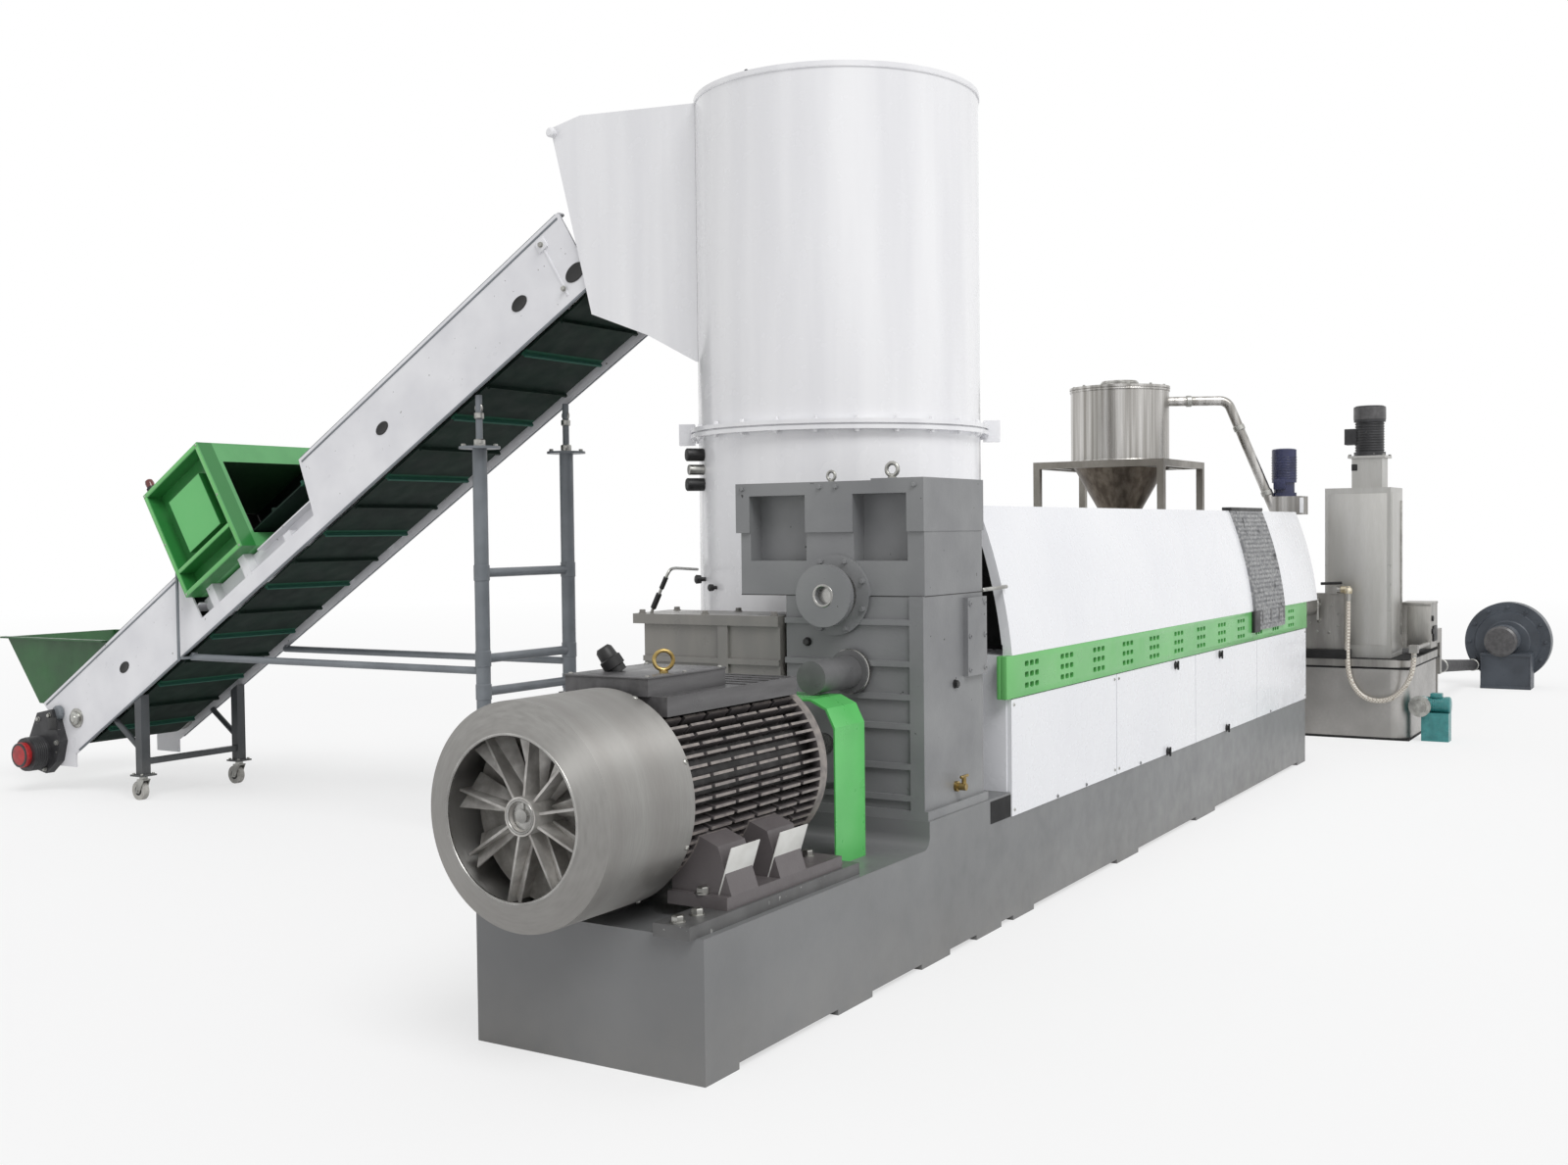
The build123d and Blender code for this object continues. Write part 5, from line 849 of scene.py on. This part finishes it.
def dress_cover():
    """Near-black sheets inside the extruder's cover as painted shade, its latches and screws, and the blanket's bars
    and ties.
    """
    # The dark sheet along the inside of the hood and the dark upright screen are painted shade.
    inner = [(y, z) for y, z in arc_through(*COVER_ARC, 12, 0.0445) if z < 1.652] + [(-0.262, 1.655), (-0.020, 1.655)]
    finish(folded_sheet(inner, 0.712, 5.990, 0.002), "cover_inner_shade", PAINTED_SHADE_BLACK)
    blocks("cover_shade_screen", PAINTED_SHADE_BLACK, 0.001,
           ((0.960, -0.345, 1.092), (0.966, -0.016, 1.400)), ((0.960, -0.262, 1.400), (0.966, -0.016, 1.640)))
    latches = []
    for x, z in ((2.863, 0.880), (3.677, 0.878), (2.726, 0.444), (3.812, 0.444)):
        steps = [(0, 0.022), (0.004, 0.022), (0.005, 0.015), (0.012, 0.013)]
        latches.append(turned(steps, (x, -0.441, z), TO_VIEWER, 20))
        latches.append(block((x - 0.006, -0.462, z - 0.024), (x + 0.006, -0.452, z + 0.024), 0.003))
    finish(join(latches), "panel_latches", BLACK_PLASTIC)
    places = [(x, -0.441, z) for x in (0.728, 1.930, 1.990, 5.710) for z in (0.455, 0.885)]
    screws("panel_screws", button_screw(), 0.014, places, TO_VIEWER)
    places = [(x, -0.4415, 0.440) for x in (1.20, 1.55, 2.30, 4.80)]
    screws("sill_screws", button_screw(), 0.016, places, TO_VIEWER, BED_ENAMEL)
    blocks("blanket_top_bar", BLACK_PLASTIC, 0.004, ((4.372, -0.318, 1.700), (5.098, -0.258, 1.721)))
    blocks("blanket_foot_bracket", BLACK_PLASTIC, 0.004, ((4.340, -0.468, 0.960), (4.470, -0.446, 1.090)))
    ties = [((x, -0.4655, 1.010), (x + 0.030, -0.4605, 1.090)) for x in (4.52, 4.72, 4.92, 5.04)]
    blocks("blanket_ties", SHROUD_ENAMEL, 0.002, *ties)


def dress_blanket():
    """A perforated sheet wrapped over the blanket: a grid inset face by face, opened, wrapped and thickened."""
    bpy.ops.mesh.primitive_grid_add(x_subdivisions=24, y_subdivisions=26, size=1)
    sheet = bpy.context.object
    low, high = Vector((0, -0.462, 0.985)), Vector((0, -0.300, 1.690))
    rise = (high - low).normalized()
    outward = Vector((0, -rise.z, rise.y))
    sheet.scale = (0.700, (high - low).length, 1)
    settle(sheet)
    bpy.ops.object.mode_set(mode="EDIT")
    bpy.ops.mesh.select_mode(type="FACE")
    bpy.ops.mesh.select_all(action="SELECT")
    bpy.ops.mesh.inset(thickness=0.0075, use_individual=True)
    bpy.ops.mesh.delete(type="FACE")
    bpy.ops.object.mode_set(mode="OBJECT")
    middle = (low + high) / 2 + Vector((4.735, 0, 0)) + outward * 0.15
    sheet.matrix_world = Matrix.Translation(middle) @ axes(ALONG_X, rise, -outward)
    wrap = sheet.modifiers.new("wrap", "SHRINKWRAP")
    wrap.target = frame["nodes"]["cover_strap"]
    wrap.wrap_method = "PROJECT"
    wrap.use_project_z = True
    wrap.use_positive_direction = True
    wrap.use_negative_direction = True
    wrap.wrap_mode = "OUTSIDE_SURFACE"
    wrap.offset = 0.001
    only(sheet)
    bpy.ops.object.modifier_apply(modifier="wrap")
    thicken(sheet, 0.003)
    finish(settle(sheet), "blanket_wire_mesh", BLANKET)


def dress_conveyor():
    """Plugs, seams, bearings, edge rails and the small parts of the feed conveyor."""
    plugs = []
    for x, way in BOTH_PLATES:
        for along, above, size in ((4.456, 0.004, 1.0), (3.318, 0.018, 0.9), (0.699, 0.023, 0.9), (4.828, -0.081, 1.2)):
            plug = turned([(h, r * size) for h, r in ((0, 0.034), (0.003, 0.034), (0.0035, 0.029), (0.002, 0.025))],
                          sides=28)
            plug.scale = (1.0, 1.6, 1.0)
            turn = axes(ABOVE_BELT * way, ALONG_BELT, (way, 0, 0))
            plugs.append(stand(settle(plug), along_conveyor(x, along, above), turn))
    finish(join(plugs), "plate_plugs", BLACK_PLASTIC)
    seam = []
    for x0, x1 in ((NEAR_PLATE_X - 0.004, NEAR_PLATE_X + 0.002), (FAR_PLATE_X - 0.002, FAR_PLATE_X + 0.004)):
        seam.append(conveyor_block(4.726, 4.738, -0.150, 0.160, x0, x1))
        seam.append(conveyor_block(4.700, 4.764, 0.130, 0.190, x0 - 0.006, x1 + 0.006, 0.004))
    finish(join(seam), "plate_joint", CONVEYOR_WHITE)
    joints = [(along_conveyor(x + way * 0.0095, 4.732, above), (way, 0, 0))
              for x, way in BOTH_PLATES for above in (0.160, -0.110)]
    finish(copies(hex_bolt(), joints, 0.022), "plate_joint_bolts", ZINC)
    rails = []
    for a0, a1 in ((-0.120, 1.470), (2.700, 4.880)):
        rails.append(conveyor_block(a0, a1, 0.2065, 0.2170, NEAR_PLATE_X - 0.003, NEAR_PLATE_X + 0.001, 0.001))
        rails.append(conveyor_block(a0, a1, 0.2350, 0.2390, NEAR_PLATE_X, NEAR_PLATE_X + 0.045, 0.001))
    finish(join(rails), "plate_top_rail", FRAME_ENAMEL)
    hem = [conveyor_block(0.02, 4.85, -0.199, -0.187, x - 0.006, x + 0.006) for x, _ in BOTH_PLATES]
    finish(join(hem), "plate_bottom_hem", FRAME_ENAMEL)
    steps = [(0, 0.062), (0.008, 0.062), (0.010, 0.044), (0.026, 0.042), (0.030, 0.024), (0.034, 0.022)]
    bearings = [turned(steps, along_conveyor(x, ROLLER_ALONG, -0.012), (way, 0, 0), 28) for x, way in BOTH_PLATES]
    finish(join(bearings), "roller_bearings", ZINC)
    boss = bar(along_conveyor(0.872, -0.018, 0.099), along_conveyor(0.906, -0.018, 0.099), 0.046, 24)
    finish(boss, "tail_pulley_boss", FRAME_ENAMEL)

    steps = [(0, 0.078), (0.012, 0.080), (0.030, 0.080), (0.040, 0.070), (0.044, 0.040), (0.046, 0.012)]
    finish(turned(steps, (0.741, GEARMOTOR_Y, GEARMOTOR_Z), TO_MOTOR_END), "gearmotor_red_cap", RED_CAP)
    fin_stack("gearmotor_fins", MOTOR_DARK, (0.762, GEARMOTOR_Y, GEARMOTOR_Z), (0.014, 0, 0), 6, TO_MOTOR_END,
              0.1045, 0.004, 32)
    places = [(0.850, TAIL_Y + y, TAIL_Z + z)
              for y, z in ((0.030, -0.110), (0.100, 0.060), (0.215, 0.030), (0.300, -0.140), (0.160, -0.285))]
    screws("gearmotor_case_bolts", hex_bolt(), 0.024, places, TO_MOTOR_END)
    blocks("gearmotor_terminal_cover", BLACK_PLASTIC, 0.004,
           ((0.842, TAIL_Y + 0.020, TAIL_Z - 0.030), (0.850, TAIL_Y + 0.110, TAIL_Z + 0.050)))

    lamp = along_conveyor(0.868, 1.570, 0.752)
    base = turned([(0, 0.030), (0.016, 0.030), (0.018, 0.024), (0.024, 0.024)], lamp, ABOVE_BELT, 24)
    finish(base, "detector_lamp_base", BLACK_PLASTIC)
    dome = turned([(0.022, 0.024), (0.050, 0.026), (0.066, 0.022), (0.074, 0.012)], lamp, ABOVE_BELT, 24)
    finish(dome, "detector_lamp", LAMP_RED)
    edge = [conveyor_block(*limits, 0.8395, 0.8445, 0.001) for limits in (
        (1.507, 2.083, 0.044, 0.068), (1.507, 2.083, 0.728, 0.750), (1.507, 1.531, 0.068, 0.728),
        (2.059, 2.083, 0.068, 0.728), (1.533, 2.057, 0.192, 0.212))]
    finish(join(edge), "detector_side_trim", BAND_GREEN)
    places = [along_conveyor(0.8405, a, b) for a in (1.519, 2.071) for b in (0.056, 0.400, 0.739)]
    screws("detector_trim_screws", button_screw(), 0.014, places, TO_MOTOR_END)
    flaps = [conveyor_block(1.512, 1.516, 0.180, 0.6200, 0.974 + 0.081 * n, 1.052 + 0.081 * n, 0.0005)
             for n in range(8)]
    finish(join(flaps), "detector_curtain", BLACK_PLASTIC)
    # A grey plate inside the gap whose grey stands for the shaded inner face of the white far plate: painted shade.
    finish(conveyor_block(1.490, 2.700, 0.176, 0.300, 1.598, 1.612), "belt_far_shade_plate", FRAME_ENAMEL)
    pans = [conveyor_block(a0, a1, 0.000, 0.010, 0.925, 1.668, 0.003) for a0, a1 in ((2.095, 2.620), (1.400, 1.500))]
    finish(join(pans), "belt_side_pans", CONVEYOR_WHITE)


def dress_supports():
    """Eyes, discs, bolts and rung sockets of the conveyor's frames, the casters' hubs and the hopper's rim cap."""
    eyes, bolts = [], []
    for x in TALL_LEGS_X:
        leg = Vector((x, TALL_LEG_Y, 0))
        eyes.append(ring(raised(leg, 2.262), ALONG_X, 0.020, 0.007, sides=24))
        eyes.append(bar(raised(leg, 2.062), raised(leg, 2.100), 0.030))
        eyes.append(bar(raised(leg, 2.205), raised(leg, 2.238), 0.026))
        for z in (2.062, 0.012):
            bolts += circle_spots(raised(leg, z), ALONG_X, ALONG_Y, 0.082, 4, UP, math.pi / 4)
    finish(join(eyes), "tall_leg_eyes", ZINC)
    finish(copies(hex_bolt(), bolts, 0.022), "tall_leg_bolts", ZINC)
    sockets = [bar((x, TALL_LEG_Y, z - 0.045), (x, TALL_LEG_Y, z + 0.045), 0.0415, 24) for x in TALL_LEGS_X
               for z in (0.785, 0.958, 1.406)]
    finish(join(sockets), "rung_sockets", FRAME_ENAMEL)
    places = [(x + dx, 5.39996 + dy, 0.160) for x in (0.937, 1.657) for dx in (-0.040, 0.040) for dy in (-0.040, 0.040)]
    screws("caster_plate_bolts", hex_bolt(), 0.014, places)
    for side in ("near", "far"):
        low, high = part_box(f"caster_wheel_{side}")
        middle = (low + high) / 2
        hub = join([turned([(0, 0.030), (0.0010, 0.030), (0.0018, 0.018)], (face, middle.y, middle.z), (way, 0, 0), 24)
                    for face, way in ((low.x, -1), (high.x, 1))])
        finish(hub, f"caster_hub_{side}", BLACK_PLASTIC, f"wheel_{side}")
    low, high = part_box("feed_hopper")
    rim = [(low.y + 0.010, high.z + 0.0015), (high.y - 0.002, high.z + 0.0015)]
    finish(folded_sheet(rim, low.x, low.x + 0.040, 0.003), "hopper_rim_cap", HOPPER_GREEN)


def dress_silo():
    """Rims, clamps and couplings of the silo, its pipe and the drying column."""
    rims = [ring(raised(SILO_MIDDLE, z), UP, 0.3672, 0.006, 1.6, 96) for z in (2.108, 2.636)]
    finish(join(rims), "silo_rims", STAINLESS)
    rows = [(degrees, 2.115, 2.628) for degrees in (75, 195, 315)]
    upright_seams("silo_seams", STAINLESS, SILO_MIDDLE, 0.3665, 0.0035, rows)
    port = turned([(0, 0.1325), (0, 0.141), (0.010, 0.141), (0.012, 0.1325)], raised(SILO_MIDDLE, 2.696), UP, 48)
    finish(port, "silo_port_clamp", ZINC)
    spots = circle_spots(raised(SILO_MIDDLE, 2.666), ALONG_X, ALONG_Y, 0.345, 12, UP)
    finish(copies(hex_bolt(), spots, 0.018), "silo_lid_bolts", ZINC)
    spout = turned([(0, 0.0855), (0, 0.110), (0.012, 0.110), (0.014, 0.0855)], raised(SILO_MIDDLE, 1.422), UP, 40)
    finish(spout, "silo_spout_flange", STAINLESS_FLAT)
    start, bend, end = Vector((6.550, 0.804, 2.560)), Vector((6.780, 0.380, 2.560)), Vector((6.890, 0.050, 1.706))
    clamps = [bar(a.lerp(b, share), a.lerp(b, share) + (b - a).normalized() * 0.045, 0.043, 28)
              for a, b, share in ((start, bend, 0.35), (bend, end, 0.22), (bend, end, 0.80))]
    finish(join(clamps), "pipe_clamps", ZINC)

    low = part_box("drying_column")[0]
    blocks("column_head_cover", PANEL_WHITE, 0.003,
           ((low.x - 0.002, low.y - 0.003, 1.700), (6.930, low.y + 0.010, 1.815)))
    fin_stack("column_motor_fins", MOTOR_BLUE, (COLUMN_MOTOR_X, COLUMN_MOTOR_Y, 1.962), (0, 0, 0.020), 9, UP,
              0.0905, 0.0035)
    top = turned([(0, 0.088), (0.006, 0.080), (0.010, 0.050)], (COLUMN_MOTOR_X, COLUMN_MOTOR_Y, 2.179), UP, 40)
    finish(top, "column_motor_cap", MOTOR_BLUE)
    blocks("column_motor_terminals", MOTOR_BLUE, 0.004, ((6.868, -0.030, 1.880), (6.890, 0.060, 1.960)))


def dress_dryer():
    """Painted shade bands round the tank, and doors, latches and fittings of the dryer, tank, pelletizer and water
    pump.
    """
    # Near-black bands round the tank: painted shadow at its foot and painted shade at its lid band.
    shade_bands = join([block((7.0760, -0.8740, z0), (8.4040, 0.1040, z1), 0.0005)
                  for z0, z1 in ((0.001, 0.018), (0.528, 0.543), (0.5985, 0.6035))])
    pick_edges(shade_bands, lambda a, b: abs(a.z - b.z) > 0.003)
    bpy.ops.mesh.bevel(offset=0.128, segments=8, affect="EDGES")
    bpy.ops.object.mode_set(mode="OBJECT")
    finish(shade_bands, "tank_shade_bands", PAINTED_SHADE_BLACK)

    blocks("dryer_front_sheet", DRYER_STEEL, 0.001, ((7.1770, -0.700, 0.700), (7.1800, -0.275, 1.840)))
    blocks("dryer_side_door", DRYER_STEEL, 0.001, ((7.215, -0.7280, 0.640), (7.615, -0.7250, 1.850)))
    blocks("dryer_door_handle", ZINC, 0.004, ((7.560, -0.7360, 0.760), (7.600, -0.7275, 1.790)))
    latches = [((7.176, -0.722, z), (7.200, -0.7275, z + 0.018)) for z in (1.150, 1.290)]
    blocks("dryer_latches", ZINC, 0.002, *latches)
    seams = [((7.1785, -0.726, z), (7.1805, -0.249, z + 0.003)) for z in (1.300, 0.960)]
    blocks("dryer_sheet_seams", STAINLESS_FLAT, 0.0005, *seams)
    blocks("dryer_neck_latch", BLACK_PLASTIC, 0.002, ((7.302, -0.462, 2.018), (7.306, -0.418, 2.068)))
    places = [(DRYER_MOTOR_X + dx, DRYER_MOTOR_Y + dy, 2.130) for dx in (-0.122, 0.122) for dy in (-0.122, 0.122)]
    screws("dryer_neck_bolts", hex_bolt(), 0.020, places)
    fin_stack("dryer_motor_fins", MOTOR_DARK, (DRYER_MOTOR_X, DRYER_MOTOR_Y, 2.175), (0, 0, 0.020), 11, UP,
              0.1015, 0.0055)
    cowl = turned([(0, 0.1150), (0, 0.1175), (0.090, 0.1175), (0.104, 0.100), (0.106, 0.060)],
                  (DRYER_MOTOR_X, DRYER_MOTOR_Y, 2.408), UP, 48)
    finish(cowl, "dryer_motor_cowl", SHROUD_ENAMEL)

    # A near-black block under the pelletizer: painted shade.
    blocks("pelletizer_base_shade", PAINTED_SHADE_BLACK, 0.003, ((7.012, -0.4450, 0.6005), (7.1790, -0.0950, 0.668)))
    finish(bar((7.040, -0.250, 1.165), (7.040, -0.405, 1.172), 0.011), "valve_lever", BLACK_PLASTIC)
    valve = join([
        turned([(0, 0.030), (0.012, 0.032), (0.030, 0.032), (0.042, 0.026), (0.044, 0.016), (0.056, 0.014)],
               (HOSE_X, -0.450, 1.092), UP, 24),
        bar((HOSE_X, -0.470, 1.121), (HOSE_X, -0.396, 1.121), 0.027, 24),
    ])
    finish(valve, "brass_elbow", PALE_BRASS)
    grip = [(x, CUTTER_GRIP_Y, z) for x, z in (
        (7.088, 1.045), (7.050, 1.040), (7.040, 1.000), (7.040, 0.930), (7.050, 0.880), (7.088, 0.875))]
    finish(bent_bar(grip, 0.010), "cutter_handle", ZINC)
    bolt_circle("cutter_flange_bolts", (7.0915, -0.262, 0.900), TO_MOTOR_END, 0.112, 8, 0.018, start=0.3)

    volute = turned([(0, 0.0725), (0.010, 0.078), (0.030, 0.078), (0.034, 0.050), (0.060, 0.048), (0.062, 0.030)],
                    (7.110, -0.945, PUMP_Z), TO_MOTOR_END, 40)
    finish(volute, "pump_volute_cover", ZINC)
    fin_stack("pump_motor_fins", TEAL, (PUMP_MOTOR_X, -0.995, PUMP_Z), (0, -0.013, 0), 8, TO_VIEWER, 0.0605, 0.003, 32)
    steps = [(0, 0.064), (0.030, 0.064), (0.038, 0.054), (0.040, 0.024)]
    finish(turned(steps, (PUMP_MOTOR_X, -1.100, PUMP_Z), TO_VIEWER), "pump_fan_cap", TEAL)
    blocks("pump_terminal_cover", TEAL, 0.006, ((7.195, -1.080, 0.318), (7.275, -1.000, 0.352)))
    cover = [block((7.640, -0.936, 0.985), (7.955, -0.713, 1.004), 0.003),
             block((7.6475, -0.9345, 0.660), (7.6520, -0.760, 0.975), 0.002)]
    finish(join(cover), "outlet_cover", STAINLESS_FLAT)
    switches = [bar((7.700, -0.932, z), (7.700, -0.946, z), 0.022) for z in (0.780, 0.880)]
    switches.append(block((7.730, -0.944, 0.700), (7.880, -0.932, 0.820), 0.004))
    finish(join(switches), "outlet_switches", BLACK_PLASTIC)


def dress_blower():
    """Rims, ribs and motor of the air blower, its pedestal and the clamps of its duct."""
    rims = [ring((11.800 + dx, SCROLL_Y, SCROLL_Z), TO_MOTOR_END, 0.3795, 0.008, sides=96) for dx in (-0.0915, 0.0915)]
    finish(join(rims), "scroll_rims", SLATE)
    steps = [(0, 0.300), (0.014, 0.292), (0.020, 0.210), (0.030, 0.200), (0.034, 0.165)]
    finish(turned(steps, (11.700, SCROLL_Y, SCROLL_Z), TO_MOTOR_END, 64), "scroll_face", SLATE)
    bolt_circle("scroll_bolts", (11.6995, SCROLL_Y, SCROLL_Z), TO_MOTOR_END, 0.340, 12, 0.026, SLATE)
    fin_stack("blower_motor_fins", SLATE, (11.440, BLOWER_MOTOR_Y, BLOWER_MOTOR_Z), (0.030, 0, 0), 7, TO_MOTOR_END,
              0.1465, 0.006)
    cap = turned([(0, 0.148), (0.030, 0.148), (0.046, 0.128), (0.050, 0.060)],
                 (11.412, BLOWER_MOTOR_Y, BLOWER_MOTOR_Z), TO_MOTOR_END, 40)
    finish(cap, "blower_motor_cap", SHROUD_ENAMEL)
    pedestal = [block((11.396, y, 0.004), (11.404, y + 0.010, 0.340), 0.002) for y in (-1.2340, -0.7980)]
    for z0, z1 in ((0.315, 0.345), (0.002, 0.030)):
        pedestal.append(block((11.394, -1.236, z0), (11.404, -0.786, z1), 0.003))
    finish(join(pedestal), "pedestal_frame", SLATE)
    middle = Vector((8.450, -0.830, 0.450)).lerp(Vector((11.752, -0.720, 0.200)), 0.12)
    way = Vector((3.302, 0.110, -0.250)).normalized()
    clamps = [bar(middle + way * s, middle + way * (s + 0.05), 0.058, 28) for s in (0.0, 2.4)]
    finish(join(clamps), "duct_clamps", ZINC)


def light_scene():
    """Pale floor, white surround, soft key light. The floor glows to the camera, more so with distance."""
    bpy.ops.mesh.primitive_plane_add(size=FLOOR_SIZE, location=(3, 2, 0))
    floor = bpy.context.object
    floor.name = "floor"
    material, tree, shader = new_material("floor_paint")
    cloud = add_node(tree, "TexNoise", (stretched(tree), None, 1 / 2.0, 3.0))
    tone = add_node(tree, "MixRGB", (cloud, linear("#f0f0f0"), linear("#ededee")))
    tree.links.new(tone, shader.inputs["Base Color"])
    shader.inputs["Roughness"].default_value = 0.9
    shader.inputs["Specular IOR Level"].default_value = 0.0
    seen = add_node(tree, "LightPath", output="Is Camera Ray")
    glow = add_node(tree, "Emission", ((1, 1, 1, 1), 1.0))
    distance = add_node(tree, "VectorMath", (stretched(tree),), "Value", operation="LENGTH")
    fade = add_node(tree, "MapRange", (distance, 7.0, 30.0, 0.62, 1.0))
    share = add_node(tree, "Math", (seen, fade), operation="MULTIPLY")
    both = add_node(tree, "MixShader", (share, shader.outputs[0], glow))
    tree.links.new(both, tree.nodes["Material Output"].inputs["Surface"])
    floor.data.materials.append(material)

    world = bpy.data.worlds.new("surround")
    bpy.context.scene.world = world
    world.use_nodes = True
    tree = world.node_tree
    background = tree.nodes["Background"]
    background.inputs["Color"].default_value = (1, 1, 1, 1)
    camera, glossy, through = (
        add_node(tree, "LightPath", output=f"Is {ray} Ray") for ray in ("Camera", "Glossy", "Transmission"))
    shown = add_node(tree, "Math", (camera, glossy), operation="MAXIMUM")
    shown = add_node(tree, "Math", (shown, through), operation="MAXIMUM")
    strength = add_node(tree, "MapRange", (shown, 0.0, 1.0, 0.62, 1.0))
    tree.links.new(strength, background.inputs["Strength"])

    data = bpy.data.lights.new("key", "SUN")
    data.energy = 1.5
    data.angle = 0.5
    key = bpy.data.objects.new("key", data)
    bpy.context.scene.collection.objects.link(key)
    key.rotation_euler = (math.radians(42), 0, math.radians(-32))
    bpy.context.scene.view_settings.view_transform = "Standard"


make_camera()
for part in frame["record"]["subparts"]:
    node = frame["nodes"][part["node"]]
    node.data.materials.clear()
    node.data.materials.append(NODE_FINISH.get(part["node"], SLOT_FINISH[part["material_slot"]]))
make_hose()
dress_motor()
dress_gearbox()
dress_compactor()
dress_band()
dress_cover()
dress_blanket()
dress_conveyor()
dress_supports()
dress_silo()
dress_dryer()
dress_blower()
light_scene()
